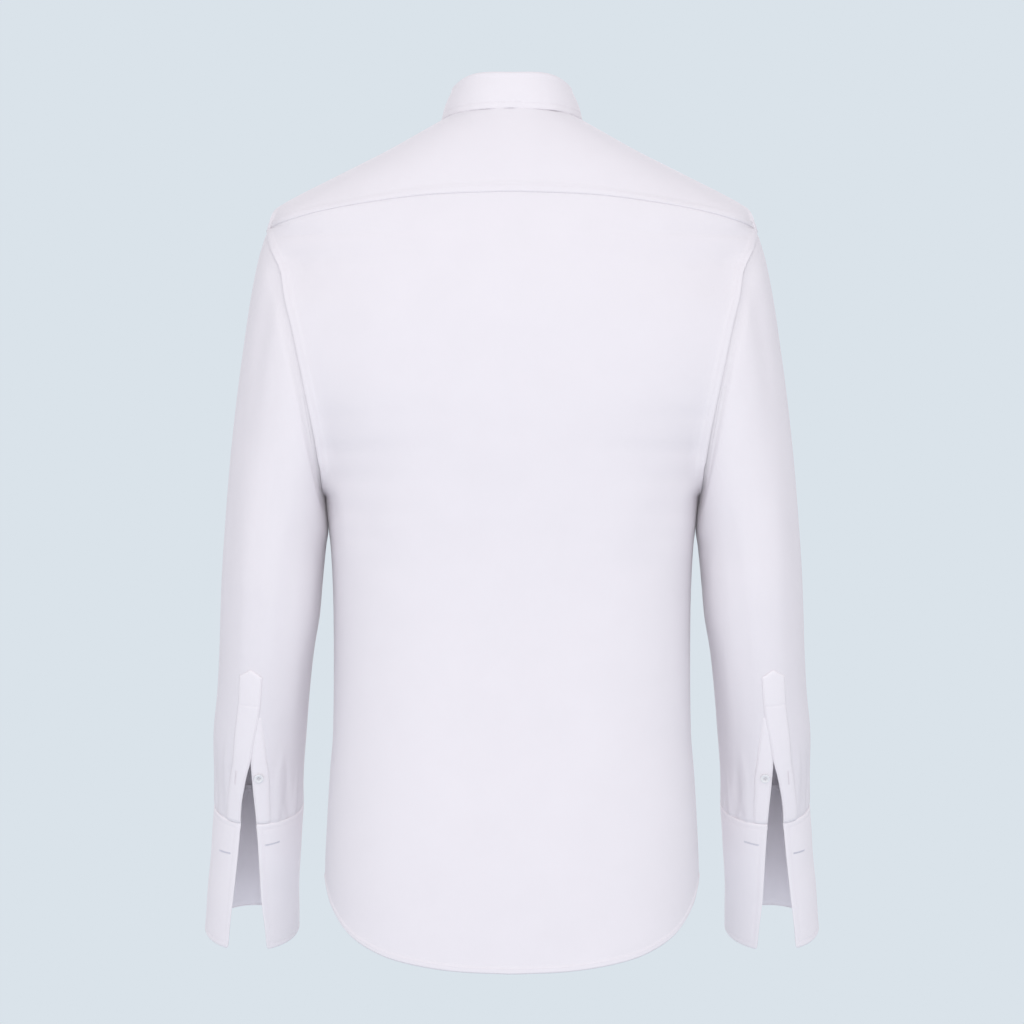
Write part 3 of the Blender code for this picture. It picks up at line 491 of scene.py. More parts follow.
yokeCloth = clothFromGrid("yokeCloth", yokeGrid, cotton)

front = {
    "columns": 64,
    "lowRows": ((0.0, 0.004, 0.0005), (0.004, 0.012, 0.001), (0.012, 0.385, 0.006)),
    "highRows": 64,
    "placket": 0.032, "stitchIn": 0.006, "lowTop": -0.360,
    "buttonZ": (-0.118, -0.200, -0.282, -0.364, -0.446, -0.528, -0.610),
    "folds": (
        (0.150, -0.345, 0.085, -0.430, 0.022, -0.0018), (0.115, -0.200, 0.090, -0.330, 0.030, 0.0012),
        (0.120, -0.430, 0.105, -0.640, 0.032, 0.0012), (0.060, -0.300, 0.065, -0.560, 0.036, -0.0010),
        (0.090, -0.640, 0.100, -0.715, 0.022, -0.0009), (0.075, -0.110, 0.060, -0.190, 0.026, -0.0009)),
}

def innerEnd(j):
    # x and z where row j of a front starts: up the overlapping edge, then along the neckline
    if j <= 5:
        heights = (front["lowTop"], -0.298, -0.236, -0.174, -0.113, -0.052)
        return -cut["overlap"], float(np.interp(j, range(6), heights))
    if j <= 6:
        x = float(np.interp(j, (5, 6), (-cut["overlap"], cut["neckHalf"] * math.cos(math.radians(75)))))
        return x, cut["neckFront"] + (j - 5) * (neckSpot(-75)[1] - cut["neckFront"])
    turn = float(np.interp(j, range(6, 12), (-75, -60, -46, -33, -21, -11)))
    return cut["neckHalf"] * math.cos(math.radians(turn)), neckSpot(turn)[1]


columnShares = acrossShares(front["columns"], 0.012, 0.0008, 0.24)
slant = np.interp(columnShares, (0, 0.09, 0.2, 0.36, 0.52, 0.68, 0.84, 1),
                  (0, 0, 0.05, 0.2, 0.4, 0.62, 0.82, 1))
frontGrid = []
for t in spacing(front["lowRows"])[:-1]:
    start = angleOfX(-cut["overlap"], -0.745 * (1 - t) + front["lowTop"] * t, -1)
    a = start + (360 - start) * columnShares
    top = front["lowTop"] * (1 - slant) + cut["armpit"] * slant
    frontGrid.append(bodyPoint(a, hemZ(a, -1) * (1 - t) + top * t, -1))
lowCount = len(frontGrid)
steps = np.unique(np.concatenate((np.linspace(0, 11, front["highRows"]), np.linspace(10.9, 11, 6), (5, 6))))
for j in steps:
    x, z = innerEnd(j)
    start = angleOfX(x, z, -1)
    a = start + (360 - start) * columnShares
    outerZ = cut["armpit"] + (cut["armholeTop"] - cut["armpit"]) * j / 11
    frontGrid.append(bodyPoint(a, z * (1 - slant) + outerZ * slant, -1))
frontGrid = np.array(frontGrid)
edgeLine = np.stack([np.interp(columnShares, yokeEdgeShares, yokeEdge[:, i]) for i in range(3)], axis=-1)
miss = edgeLine - frontGrid[-1]
for n, j in enumerate(steps):
    if j > 6:
        frontGrid[lowCount + n] += miss * ((j - 6) / 5) ** 2
nearEdge, nearSide = edgeDistance(frontGrid, "left"), edgeDistance(frontGrid, "right")
nearTop, nearHem = edgeDistance(frontGrid, "high"), edgeDistance(frontGrid, "low")
calm = smooth((nearEdge - 0.03) / 0.04) * smooth(nearSide / 0.05) * smooth(nearTop / 0.04) * smooth(
    nearHem / 0.02)
folds = foldField(frontGrid[..., [0, 2]], front["folds"])
plain = sideLift(frontGrid, nearSide) + band(nearHem, seams["hemBand"], seams["hemHeight"])
plain -= 0.0008 * smooth((0.010 - nearTop) / 0.003) * smooth((frontGrid[..., 0] - 0.05) / 0.01)
strip = band(nearEdge, front["placket"], 0.0008) + groove(nearEdge, front["stitchIn"], 0.0003)
strip += groove(nearEdge, front["placket"] - front["stitchIn"], 0.0003)
strip *= smooth((-0.06 - frontGrid[..., 2]) / 0.01)              # ends below the collar
under = -0.0021 * (1 - smooth((frontGrid[..., 0] - 0.0185) / 0.022))
frontLeftGrid = raised(frontGrid, plain + strip + calm * (folds + waves(frontGrid, 0.15, 0.0006, 5)))
frontRightGrid = mirrored(raised(frontGrid, plain + under + calm * (
    folds + waves(frontGrid, 0.15, 0.0006, 8))))
frontLeftCloth = clothFromGrid("frontLeftCloth", frontLeftGrid, cotton)
frontRightCloth = clothFromGrid("frontRightCloth", frontRightGrid, cotton)

print("sleeves and cuffs")
sleeve = {
    "columns": 150,
    "rows": ((0.0, 0.010, 0.001), (0.010, 0.420, 0.0045), (0.420, 0.522, 0.0018), (0.522, 0.537, 0.0008)),
    # turn0, z0, turn1, z1, width, height of soft folds, turn in degrees round the sleeve
    "folds": ((60, -0.180, 120, -0.290, 14, 0.0013), (120, -0.300, 105, -0.500, 10, -0.0011),
              (60, -0.330, 66, -0.520, 11, 0.0010), (150, -0.380, 130, -0.520, 12, 0.0012),
              (40, -0.240, 30, -0.420, 12, -0.0010), (240, -0.250, 260, -0.480, 12, -0.0012),
              (300, -0.200, 285, -0.420, 12, 0.0012), (215, -0.400, 225, -0.560, 12, 0.0012),
              (100, -0.560, 92, -0.625, 7, -0.0009), (45, -0.575, 52, -0.628, 5, 0.0012),
              (20, -0.585, 24, -0.628, 5, -0.0011), (118, -0.580, 122, -0.628, 6, 0.0012),
              (134, -0.590, 131, -0.628, 5, -0.0013), (148, -0.600, 150, -0.629, 4, 0.0010),
              (250, -0.590, 246, -0.628, 6, 0.0011), (310, -0.585, 314, -0.628, 6, -0.0011)),
    "foldScale": 1000 / 6,          # height against turn, for the width of a fold
    "length": 0.537, "towerTop": -0.4956, "bindingTop": -0.530, "openBelow": -0.5709, "cuffTop": -0.632,
    # height, width of the tower strip, width of the binding, in degrees
    "strips": ((-0.4900, 29.0, 9.0), (-0.5300, 28.0, 10.0), (-0.5560, 25.0, 17.0), (-0.5840, 21.5, 22.0),
               (-0.6090, 20.5, 20.5), (-0.6320, 20.0, 18.5)),
}


def slitEdges(z):
    row = tableAt(cut["slit"], z)
    return row[..., 1], row[..., 2]


# the edge of the armhole as a dense line, by its turn round the sleeve's first ring
holeZ = cut["armpit"] + (cut["shoulder"] - cut["armpit"]) * (1 - np.cos(np.linspace(0, math.pi, 300))) / 2
rising, falling = bodyPoint(0, holeZ, 1), bodyPoint(360, holeZ[::-1], -1)
holeLine = np.concatenate((rising, falling[1:-1]))
first = tableAt(cut["sleeve"], cut["shoulder"])
hubX, hubZ = (first[1] + first[2]) / 2, (first[0] + first[3]) / 2
spanX, spanZ = (first[1] - first[2]) / 2, (first[0] - first[3]) / 2
c = ((holeLine[:, 0] - hubX) * spanX + (holeLine[:, 2] - hubZ) * spanZ) / (spanX**2 + spanZ**2)
holeTurn = np.degrees(np.arctan2(holeLine[:, 1] / first[5], c)) % 360
ranked = np.argsort(holeTurn)
holeTurn, holeLine = holeTurn[ranked], holeLine[ranked]


def holePoint(turn):
    return np.stack([np.interp(turn % 360, holeTurn, holeLine[:, i], period=360) for i in range(3)], axis=-1)


rowShares = spacing(sleeve["rows"])
sleeveZ = cut["shoulder"] - sleeve["length"] * rowShares
u = np.concatenate((np.array((0, 0.002, 0.005, 0.009, 0.014)), np.linspace(0.02, 0.98, sleeve["columns"]),
                    np.array((0.986, 0.991, 0.995, 0.998, 1))))
tower, binding = slitEdges(sleeveZ)
middle = (tower + binding) / 2
opened = sleeveZ < sleeve["openBelow"]
lowEdge = np.where(opened, tower, middle)
highEdge = np.where(opened, binding, middle)
turn = highEdge[:, None] + (360 + lowEdge - highEdge)[:, None] * u[None, :]
aboveCuff = (sleeveZ > sleeve["cuffTop"])[:, None, None]
sleeveGrid = np.where(aboveCuff, ringPoint(cut["sleeve"], sleeveZ[:, None], turn),
                      ringPoint(cut["cuff"], sleeveZ[:, None], turn))
stage = np.interp(-sleeveZ, (0.1, 0.115, 0.14, 0.18, 0.23, 0.29, 0.35), range(7))
fade = 1 - smooth(stage / 6)
miss = holePoint(turn[0]) - ringPoint(cut["sleeve"], cut["shoulder"], turn[0])
sleeveGrid = sleeveGrid + miss[None] * fade[:, None, None]
under = np.array([holePoint(turn[0]) + (-0.0045 + 0.001 * k, 0, 0) for k in (0, 2)])
sleeveGrid = np.concatenate((under, sleeveGrid))
turn = np.concatenate((turn[:1], turn[:1], turn))
sleeveZ = np.concatenate(((cut["shoulder"],) * 2, sleeveZ))
sleeveGrid, turn = sleeveGrid[::-1], turn[::-1]
normals = gridNormals(sleeveGrid)
nearHole, nearCuff = edgeDistance(sleeveGrid, "high"), edgeDistance(sleeveGrid, "low")
heights = np.broadcast_to(sleeveZ[::-1, None], turn.shape) * sleeve["foldScale"]
folds = [(t0, z0 * sleeve["foldScale"], t1, z1 * sleeve["foldScale"], width, height)
         for t0, z0, t1, z1, width, height in sleeve["folds"]]
lift = smooth(nearHole / 0.05) * (foldField(np.stack((turn % 360, heights), axis=-1), folds, 0.25)
                                  + waves(sleeveGrid, 0.12, 0.0006, 11))
fromArmpit = np.abs(turn % 360 - 180)
overBody = smooth(np.minimum(turn % 360, 360 - turn % 360) / 40) * smooth((165 - fromArmpit) / 60)
clearOfPit = smooth(fromArmpit / 35)                        # no dip in the armpit
lift -= 0.0011 * smooth((0.012 - nearHole) / 0.006) * clearOfPit
lift -= 0.0029 * np.exp(-((nearHole - 0.014) / 0.010) ** 2) * overBody * clearOfPit
lift -= 0.0008 * smooth((0.0095 - nearCuff) / 0.005)        # tucks under the cuff
gather = np.sin(np.radians(turn) * 23 + 0.7 * np.sin(np.radians(turn) * 5))
gather *= smooth((0.036 - nearCuff) / 0.027)
lift += 0.00045 * gather * smooth((np.abs((turn % 360) - 74) - 34) / 10) * smooth((nearCuff - 0.003) / 0.006)
whole = np.isclose(turn[:, -1] - turn[:, 0], 360)           # rows above the slit, closed into a ring
normals[whole, 0] = normals[whole, -1] = unit(normals[whole, 0] + normals[whole, -1])
lift[whole, -1] = lift[whole, 0]
sleeveGrid = sleeveGrid + normals * lift[..., None]
sleeveCloths = clothPair("sleeve", sleeveGrid, cotton, inside=cottonInside)
for piece in sleeveCloths:
    mergePiece(piece)

cuff = {"rows": ((0.0, 0.003, 0.0004), (0.003, 0.012, 0.001), (0.012, 0.110, 0.003),
                 (0.110, 0.118, 0.001), (0.118, 0.1217, 0.0004)),
        "height": 0.1217, "around": 0.285, "columns": 110, "corner": 0.003, "thickness": 0.0014,
        "stitchIn": 0.0055}
shares = spacing(cuff["rows"])
cuffKey = sleeve["cuffTop"] - cuff["height"] * shares
down, towerSide, bindingSide = np.transpose(cut["cuffSlit"])
low, high = np.interp(shares, down, towerSide), np.interp(shares, down, bindingSide)
fine = np.array((0, 0.0012, 0.0026, 0.0042, 0.006, 0.0085, 0.0115, 0.015, 0.019, 0.024))
u = np.concatenate((fine, np.linspace(0.03, 0.97, cuff["columns"]), 1 - fine[::-1]))
turn = high[:, None] + (360 + low - high)[:, None] * u[None, :]
fromEdge = np.clip(np.minimum(u, 1 - u) * cuff["around"] / cuff["corner"], 0, 1)
sink = cuff["corner"] * (1 - np.sqrt(np.clip(1 - (1 - fromEdge) ** 2, 0, 1)))       # rounds the corners
keyGrid = cuffKey[:, None] + sink[None, :] * shares[:, None] ** 3
cuffGrid = ringPoint(cut["cuff"], keyGrid, turn)[::-1]
rim = edgeDistance(cuffGrid, "low", "high", "left", "right")
lift = waves(cuffGrid, 0.06, 0.00035, 21) * smooth(rim / 0.02)
lift += rolled(rim, 0.0007, 0.0016) + groove(rim, cuff["stitchIn"], 0.00035, 0.0008) + 0.0003
cuffGrid = raised(cuffGrid, lift)
# the cuffs take the painted lighter tint of the poplin
cuffCloths = clothPair("cuff", cuffGrid, cottonCuffPaintedLighter, thickness=cuff["thickness"], inside=cottonInside)


def stripGrid(zs, sign, peak=0.0):
    # a strip on the slit: the tower before its edge, or the binding behind it
    tower, binding = slitEdges(zs)
    width = tableAt(sleeve["strips"], zs)[:, 1 if sign < 0 else 2]
    edge = tower if sign < 0 else binding
    rim = np.linspace(0, 0.06, 4)
    across = np.concatenate((rim[:-1], np.linspace(0.06, 0.94, 14), 1 - rim[-2::-1]))
    turn = edge[:, None] + sign * width[:, None] * across[None, :]
    rise = peak * (1 - np.abs(2 * across - 1))
    down = (zs[0] - zs) / (zs[0] - zs[-1])
    key = zs[:, None] + rise[None, :] * ((1 - down) ** 6)[:, None]
    return ringPoint(cut["sleeve"], key, turn), key


strips = {"thickness": 0.0012, "stitchIn": 0.0018, "crossStitch": -0.5200}
stripGrids, stripCloths = {}, {}
for name, zTop, sign, out, peak in (("placket", sleeve["towerTop"], -1, 0.0019, 0.0065),
                                    ("binding", sleeve["bindingTop"], 1, 0.0008, 0.0)):
    length = zTop - sleeve["cuffTop"]
    zs = zTop - length * spacing(((0, 0.006, 0.0006), (0.006, 0.034, 0.0008),
                                  (0.034, length - 0.004, 0.0022), (length - 0.004, length, 0.001)))
    base, key = stripGrid(zs, sign, peak)
    grid = base[::-1, ::sign]
    rim = edgeDistance(grid, "left", "right", "high")
    height = out + rolled(rim, 0.0010, 0.0016) + groove(rim, strips["stitchIn"], 0.0003, 0.0006)
    height += rolled(edgeDistance(grid, "low"), 0.0012, 0.004)
    if name == "placket":
        height += groove(key[::-1, ::-1], strips["crossStitch"], 0.00035, 0.0007)
    stripGrids[name] = raised(grid, height)
    stripCloths[name] = clothPair(name, stripGrids[name], cottonCuffPaintedLighter, thickness=strips["thickness"])

print("collar")
collar = {
    "standHeight": 0.0256, "stitchIn": 0.006, "standStitchIn": 0.003,
    "leafThickness": 0.0014, "standThickness": 0.0013,
    # turn round the neck, x, y, z of the leaf's lower edge
    "edge": ((90.0, 0.0000, 0.0631, 0.0059), (60.0, 0.0312, 0.0566, 0.0051),
             (35.0, 0.0508, 0.0380, 0.0036), (10.0, 0.0625, 0.0105, 0.0018),
             (0.0, 0.0648, -0.0020, 0.0006), (-5.0, 0.0664, -0.0220, -0.0012),
             (-11.0, 0.0685, -0.0375, -0.0076), (-21.0, 0.0698, -0.0552, -0.0165),
             (-33.0, 0.0680, -0.0672, -0.0322), (-46.0, 0.0638, -0.0735, -0.0487),
             (-60.0, 0.0585, -0.0792, -0.0660), (-78.0, 0.0500, -0.0888, -0.0830)),
    "fold": ((-0.0006, 0.0012), (0.0018, 0.0023), (0.0040, 0.0006), (0.0050, -0.0030)),
}


def standBase(turn):
    if turn < -90 or turn > 270:
        x = cut["neckHalf"] * math.cos(math.radians(turn))
        return bodyPoint(float(angleOfX(x, np.array(cut["neckFront"]), -1)), cut["neckFront"], -1)
    return bodyPoint(*neckSpot(turn))


def standSpot(turn, share, out=0.0):
    base = standBase(turn)
    middle = np.array((0.0, -0.004, 0.0))
    flat = (base - middle) * (1, 1, 0)
    along = standBase(turn + 4) - standBase(turn - 4)
    way = unit(unit(np.array((along[1], -along[0], 0.0))) + 0.5 * flat / np.linalg.norm(flat))
    height = collar["standHeight"] - 0.004 * (1 - float(smooth((math.sin(math.radians(turn)) + 1) / 0.6)))
    if 0 < turn < 180:
        height += 0.0032 * math.sin(math.radians(2 * turn)) ** 2
    top = middle + flat * (0.85, 0.87, 1.0) + np.array((0, 0, base[2] + height))
    spot = (base + np.array((0, 0, 0.0009))) * (1 - share) + top * share
    inset = 0.00215 * (1 - float(smooth((-base[0] - 0.0185) / 0.022))) if turn > 180 else 0.0
    return spot - way * inset + way * out


def leafSpot(turn, share):
    # share 0..1 over the fold, 1..2 down the leaf
    fold = collar["fold"]
    if share <= 1:
        slope = standBase(turn + 4) - standBase(turn - 4)
        steep = abs(slope[2]) / np.linalg.norm(slope[:2])
        at = share * (len(fold) - 1)
        out = float(np.interp(at, range(4), [f[0] for f in fold]))
        up = float(np.interp(at, range(4), [f[1] for f in fold]))
        clear = (0.0005 + 0.0020 * min(steep, 1.2)) * min(1.0, 0.2 + 2.4 * share)
        return standSpot(turn, 1.0, out) + np.array((0, 0, up + clear))
    start = leafSpot(turn, 1.0)
    key = 180 - turn if turn > 90 else turn
    edge = tableAt(collar["edge"], key)[1:] * ((-1, 1, 1) if turn > 90 else (1, 1, 1))
    t = share - 1
    way = unit(np.array((start[0], start[1] + 0.004, 0)))
    return start * (1 - t) + edge * t + way * 0.0014 * math.sin(math.pi * t)


def stretchGrid(grid, columns, rows):
    # a coarse grid made fine, smooth through its own points
    for axis, count in ((1, columns), (0, rows)):
        work = grid if axis == 0 else grid.transpose(1, 0, 2)
        size = np.linalg.norm(np.diff(work, axis=0), axis=-1).mean(axis=1)
        keys = np.concatenate(([0], np.cumsum(size)))
        flat = np.column_stack((keys, work.reshape(len(work), -1)))
        fine = tableAt(flat, np.linspace(0, keys[-1], count))[:, 1:].reshape(count, -1, 3)
        grid = fine if axis == 0 else fine.transpose(1, 0, 2)
    return grid


standTurns = [-105, -97, -90, -82, -75, -67, -60, -46, -33, -21, -11, -5, 0, 4, 8]
standTurns += [float(t) for t in np.linspace(18, 162, 19)] + [172, 176, 180, 185, 191, 201, 213, 226, 240]
standTurns += [247, 255, 262, 270, 277, 285]
standGrid = stretchGrid(np.array([[standSpot(t, s) for t in standTurns] for s in (0, 0.25, 0.5, 0.75, 1)]),
                        190, 24)
if np.mean(gridNormals(standGrid)[12] * (standGrid[12] * (1, 1, 0))) < 0:
    standGrid = standGrid[:, ::-1]
rim = edgeDistance(standGrid, "left", "right", "low")
standGrid = raised(standGrid, rolled(rim, 0.0005, 0.0015) + groove(
    rim, collar["standStitchIn"], 0.00025, 0.0006))
standCloth = clothFromGrid("collarStandCloth", standGrid, cottonFused, thickness=collar["standThickness"])

leafTurns = sorted(set(float(t) for t in [-78, -68] + standTurns[6:-5] + [248, 258]))
leafGrid = np.array([[leafSpot(t, s) for t in leafTurns]
                     for s in (0, 0.17, 0.33, 0.5, 0.67, 0.84, 1.0, 1.2, 1.4, 1.6, 1.8, 1.9, 2.0)])
leafGrid = stretchGrid(leafGrid, 230, 46)
if gridNormals(leafGrid)[30, 115][1] < 0:
    leafGrid = leafGrid[:, ::-1]
rim = edgeDistance(leafGrid, "left", "right", "high")
lift = rolled(rim, 0.0006, 0.0018) + groove(rim, collar["stitchIn"], 0.0004, 0.0008)
ripple = 0.0007 * np.sin(leafGrid[..., 0] * 210 + 0.6) + 0.0005 * np.sin(leafGrid[..., 0] * 95 + 2.0)
lift += np.abs(ripple) * smooth((0.016 - edgeDistance(leafGrid, "high")) / 0.016) * smooth(
    (leafGrid[..., 1] - 0.02) / 0.02)
leafGrid = raised(leafGrid, lift)
leafCloth = clothFromGrid("collarFallCloth", leafGrid, cottonFused, thickness=collar["leafThickness"])

print("buttons")
pearl = pearlMaterial("pearl", (0.86, 0.85, 0.84))
threadWhite = weaveMaterial("thread", (0.84, 0.80, 0.83), thread=0.00016, strength=0.5)
button = {"radius": 0.0055, "smallRadius": 0.0044, "height": 0.0024, "holes": 4, "holeRadius": 0.00075,
          "holeRing": 0.0014, "steps": 40, "rim": 0.00022, "thread": 0.00017, "threadGap": 0.00018}


def pointOn(grid, place):
    # the point of a cloth grid nearest to a place, its normal and the way across
    flat = np.linalg.norm(grid - place, axis=-1)
    j, i = np.unravel_index(np.argmin(flat), flat.shape)
    across = unit(grid[j, min(i + 1, grid.shape[1] - 1)] - grid[j, max(i - 1, 0)])
    return grid[j, i], gridNormals(grid)[j, i], across


def nodeGroup(name, labels, takesLine=False):
    # an empty tree with its own sizes: the tree, its sockets by label, what it's given and its result
    tree = bpy.data.node_groups.new(name, "GeometryNodeTree")

    def socket(label, way, kind):
        return tree.interface.new_socket(label, in_out=way, socket_type="NodeSocket" + kind).identifier

    for way in ("INPUT", "OUTPUT") if takesLine else ("OUTPUT",):
        socket("Geometry", way, "Geometry")
    sockets = {label: socket(label, "INPUT", kind) for label, kind in labels}
    given, result = addNode(tree, "NodeGroupInput"), addNode(tree, "NodeGroupOutput")
    return tree, sockets, given.outputs, result.inputs[0]


def realPaint(tree, shape, material):
    # instances made real, with their material
    real = addNode(tree, "GeometryNodeRealizeInstances", {0: shape})
    return addNode(tree, "GeometryNodeSetMaterial", {
        "Geometry": real.outputs[0], "Material": material}).outputs[0]


def buttonTree():
    # a dished round button with sewing holes
    tree, sockets, given, result = nodeGroup("shirtButton", (
        ("Radius", "Float"), ("Height", "Float"), ("HoleRadius", "Float"), ("HoleRing", "Float"),
        ("Holes", "Int"), ("Steps", "Int"), ("Material", "Material")))

    def scaled(factor, source):
        return maths(tree, "MULTIPLY", given[source], factor)

    def disc(radius, depth, up):
        # a flat cylinder, all three as shares of the button's radius and height
        shape = addNode(tree, "GeometryNodeMeshCylinder", {
            "Vertices": given["Steps"], "Radius": scaled(radius, "Radius"),
            "Depth": scaled(depth, "Height")})
        rise = addNode(tree, "ShaderNodeCombineXYZ", {"Z": scaled(up, "Height")})
        return addNode(tree, "GeometryNodeTransform", {
            "Geometry": shape.outputs["Mesh"], "Translation": rise.outputs[0]}).outputs[0]

    body, foot, dish = disc(1.0, 0.78, 0.5), disc(0.80, 0.30, 0.15), disc(0.66, 0.60, 0.95)
    ring = addNode(tree, "GeometryNodeMeshCircle", {"Vertices": given["Holes"], "Radius": given["HoleRing"]})
    drill = addNode(tree, "GeometryNodeMeshCylinder", {
        "Vertices": 16, "Radius": given["HoleRadius"], "Depth": scaled(4.0, "Height")})
    spread = addNode(tree, "GeometryNodeInstanceOnPoints", {
        "Points": ring.outputs["Mesh"], "Instance": drill.outputs["Mesh"]})
    drills = addNode(tree, "GeometryNodeRealizeInstances", {0: spread.outputs[0]})
    solid = addNode(tree, "GeometryNodeMeshBoolean", {1: [body, foot]}, operation="UNION")
    cutter = addNode(tree, "GeometryNodeMeshBoolean", {
        0: solid.outputs["Mesh"], 1: [dish, drills.outputs[0]]}, operation="DIFFERENCE")
    tree.links.new(realPaint(tree, cutter.outputs["Mesh"], given["Material"]), result)
    return tree, sockets


def evaluated(host, name, tree, sockets, values):
    # the result of a tree on an object, as a plain mesh
    made = host.modifiers.new(name, "NODES")
    made.node_group = tree
    for label, value in values.items():
        made[sockets[label]] = value
    bpy.context.view_layer.update()
    mesh = bpy.data.meshes.new_from_object(host.evaluated_get(bpy.context.evaluated_depsgraph_get()))
    mesh.name = name
    host.modifiers.clear()
    old = host.data
    host.data = mesh
    bpy.data.meshes.remove(old)

def rounded(mesh, width):
    # softens the rims, then closes any doubled points
    work = bmesh.new()
    work.from_mesh(mesh)
    bmesh.ops.remove_doubles(work, verts=work.verts, dist=0.00001)
    bmesh.ops.dissolve_limit(work, angle_limit=0.02, verts=work.verts, edges=work.edges)
    sharp = [e for e in work.edges if len(e.link_faces) == 2 and e.calc_face_angle(0) > 0.7]
    bmesh.ops.bevel(work, geom=sharp, offset=width, segments=2, profile=0.6, affect="EDGES")
    bmesh.ops.recalc_face_normals(work, faces=work.faces)
    work.to_mesh(mesh)
    work.free()

buttonNodes, buttonSockets = buttonTree()
buttonShapes = {}
for kind, radius in (("shirt", button["radius"]), ("placket", button["smallRadius"])):
    host = newObject("button_" + kind, bpy.data.meshes.new("button_" + kind))
    scale = radius / button["radius"]
    evaluated(host, "button_" + kind, buttonNodes, buttonSockets, {
        "Radius": radius, "Height": button["height"] * scale, "HoleRadius": button["holeRadius"] * scale,
        "HoleRing": button["holeRing"] * scale, "Holes": button["holes"], "Steps": button["steps"],
        "Material": pearl})
    rounded(host.data, button["rim"] * scale)
    buttonShapes[kind] = (host.data, scale)
    bpy.data.objects.remove(host)


def threadLoops(scale):
    # the sewing thread of a button: two pairs of bars between its holes
    work = bmesh.new()
    ring = button["holeRing"] * scale
    for k in (0, 2):
        start, end = [np.array((math.cos(math.pi / 2 * n), math.sin(math.pi / 2 * n))) * ring
                      for n in (k, k + 1)]
        for sign in (-1, 1):
            side = unit(np.array((-(end - start)[1], (end - start)[0]))) * sign
            rows = []
            for t in np.linspace(0, 1, 9):
                spot = start * (1 - t) + end * t + side * button["threadGap"]
                high = button["height"] * scale * (0.52 + 0.30 * math.sin(math.pi * t) ** 0.5)
                turns = [a * math.pi / 3 for a in range(6)]
                rows.append([work.verts.new((*(spot + side * button["thread"] * math.cos(a)),
                                             high + button["thread"] * math.sin(a))) for a in turns])
            for a, b in zip(rows, rows[1:]):
                for i in range(6):
                    work.faces.new((a[i], a[(i + 1) % 6], b[(i + 1) % 6], b[i]))
            work.faces.new(rows[0][::-1])
            work.faces.new(rows[-1])
    bmesh.ops.recalc_face_normals(work, faces=work.faces)
    mesh = bpy.data.meshes.new("buttonThread")
    work.to_mesh(mesh)
    work.free()
    mesh.materials.append(threadWhite)
    return mesh


def placeMesh(name, mesh, place, normal, across, turn=0.0):
    # a copy of a mesh standing on the cloth, its place kept in its points
    up = unit(normal)
    side = unit(across - up * (across @ up))
    other = np.cross(up, side)
    c, q = math.cos(turn), math.sin(turn)
    axes = np.array((side * c + other * q, other * c - side * q, up))
    copy = mesh.copy()
    points = np.empty(len(copy.vertices) * 3)
    copy.vertices.foreach_get("co", points)
    points = points.reshape(-1, 3) @ axes + place
    copy.vertices.foreach_set("co", points.reshape(-1))
    smoothFaces(copy)
    copy.update()
    return newObject(name, copy)


def frontSpot(z):
    # the centre line of the front at a height
    return bodyPoint(float(angleOfX(0.0, np.array(z), -1)), z, -1)


sewn = []       # button pieces with the node each stands for
spots = [("front_%d" % (n + 1), frontLeftGrid, frontSpot(z), "shirt", 1)
         for n, z in enumerate(front["buttonZ"])]
spots.append(("collar", standGrid, standSpot(-90, 0.5), "shirt", 1))
onBinding = ringPoint(cut["sleeve"], -0.5873, 93.0, 0.0016)
spots.append(("placket_left", stripGrids["binding"], onBinding, "placket", 1))
spots.append(("placket_right", stripGrids["binding"], onBinding, "placket", -1))
for name, grid, place, kind, sign in spots:
    spot, normal, across = pointOn(grid, place)
    flip = np.array((sign, 1, 1))
    mesh, scale = buttonShapes[kind]
    where = ((spot + normal * 0.0004) * flip, normal * flip, across * flip, 0.12 * math.sin(len(sewn) * 2.4))
    sewn.append((placeMesh("button" + name + "Disc", mesh, *where),
                 placeMesh("button" + name + "Thread", threadLoops(scale), *where), "button_" + name))

print("stitches")
stitch = {"pitch": 0.0029, "length": 0.0024, "width": 0.00034,
          "holePitch": 0.00045, "holeThread": 0.00042, "holeBar": 0.0010, "holeGap": 0.0009,
          "onEdge": 0.0055, "onHem": 0.0048,
          # cufflink holes: turn and height of their two ends, slanting, on both ends of the cuff
          "cuffHoles": ((40.0, -0.6640, 56.0, -0.6626), (105.0, -0.6520, 120.0, -0.6512)),
          "holeLength": 0.0145}

def stitchTree():
    # small stretched beads of thread along the lines of a mesh, lying on the cloth
    tree, sockets, given, result = nodeGroup("stitchRow", (
        ("Pitch", "Float"), ("Length", "Float"), ("Width", "Float"), ("Height", "Float"),
        ("Material", "Material")), takesLine=True)
    line = addNode(tree, "GeometryNodeMeshToCurve", {0: given["Geometry"]})
    steps = addNode(tree, "GeometryNodeResampleCurve", {
        "Curve": line.outputs[0], "Length": given["Pitch"]}, mode="LENGTH")
    facing = addNode(tree, "GeometryNodeInputNamedAttribute", {"Name": "facing"}, data_type="FLOAT_VECTOR")
    along = addNode(tree, "GeometryNodeInputTangent")
    first = addNode(tree, "FunctionNodeAlignRotationToVector", {"Vector": along.outputs[0]}, axis="X")
    second = addNode(tree, "FunctionNodeAlignRotationToVector", {
        "Rotation": first.outputs[0], "Vector": facing.outputs["Attribute"]}, axis="Z", pivot_axis="X")
    bead = addNode(tree, "GeometryNodeMeshUVSphere", {"Segments": 6, "Rings": 4, "Radius": 0.5})
    size = addNode(tree, "ShaderNodeCombineXYZ", {
        "X": given["Length"], "Y": given["Width"], "Z": given["Height"]})
    spread = addNode(tree, "GeometryNodeInstanceOnPoints", {
        "Points": steps.outputs[0], "Instance": bead.outputs["Mesh"], "Rotation": second.outputs[0],
        "Scale": size.outputs[0]})
    tree.links.new(realPaint(tree, spread.outputs[0], given["Material"]), result)
    return tree, sockets


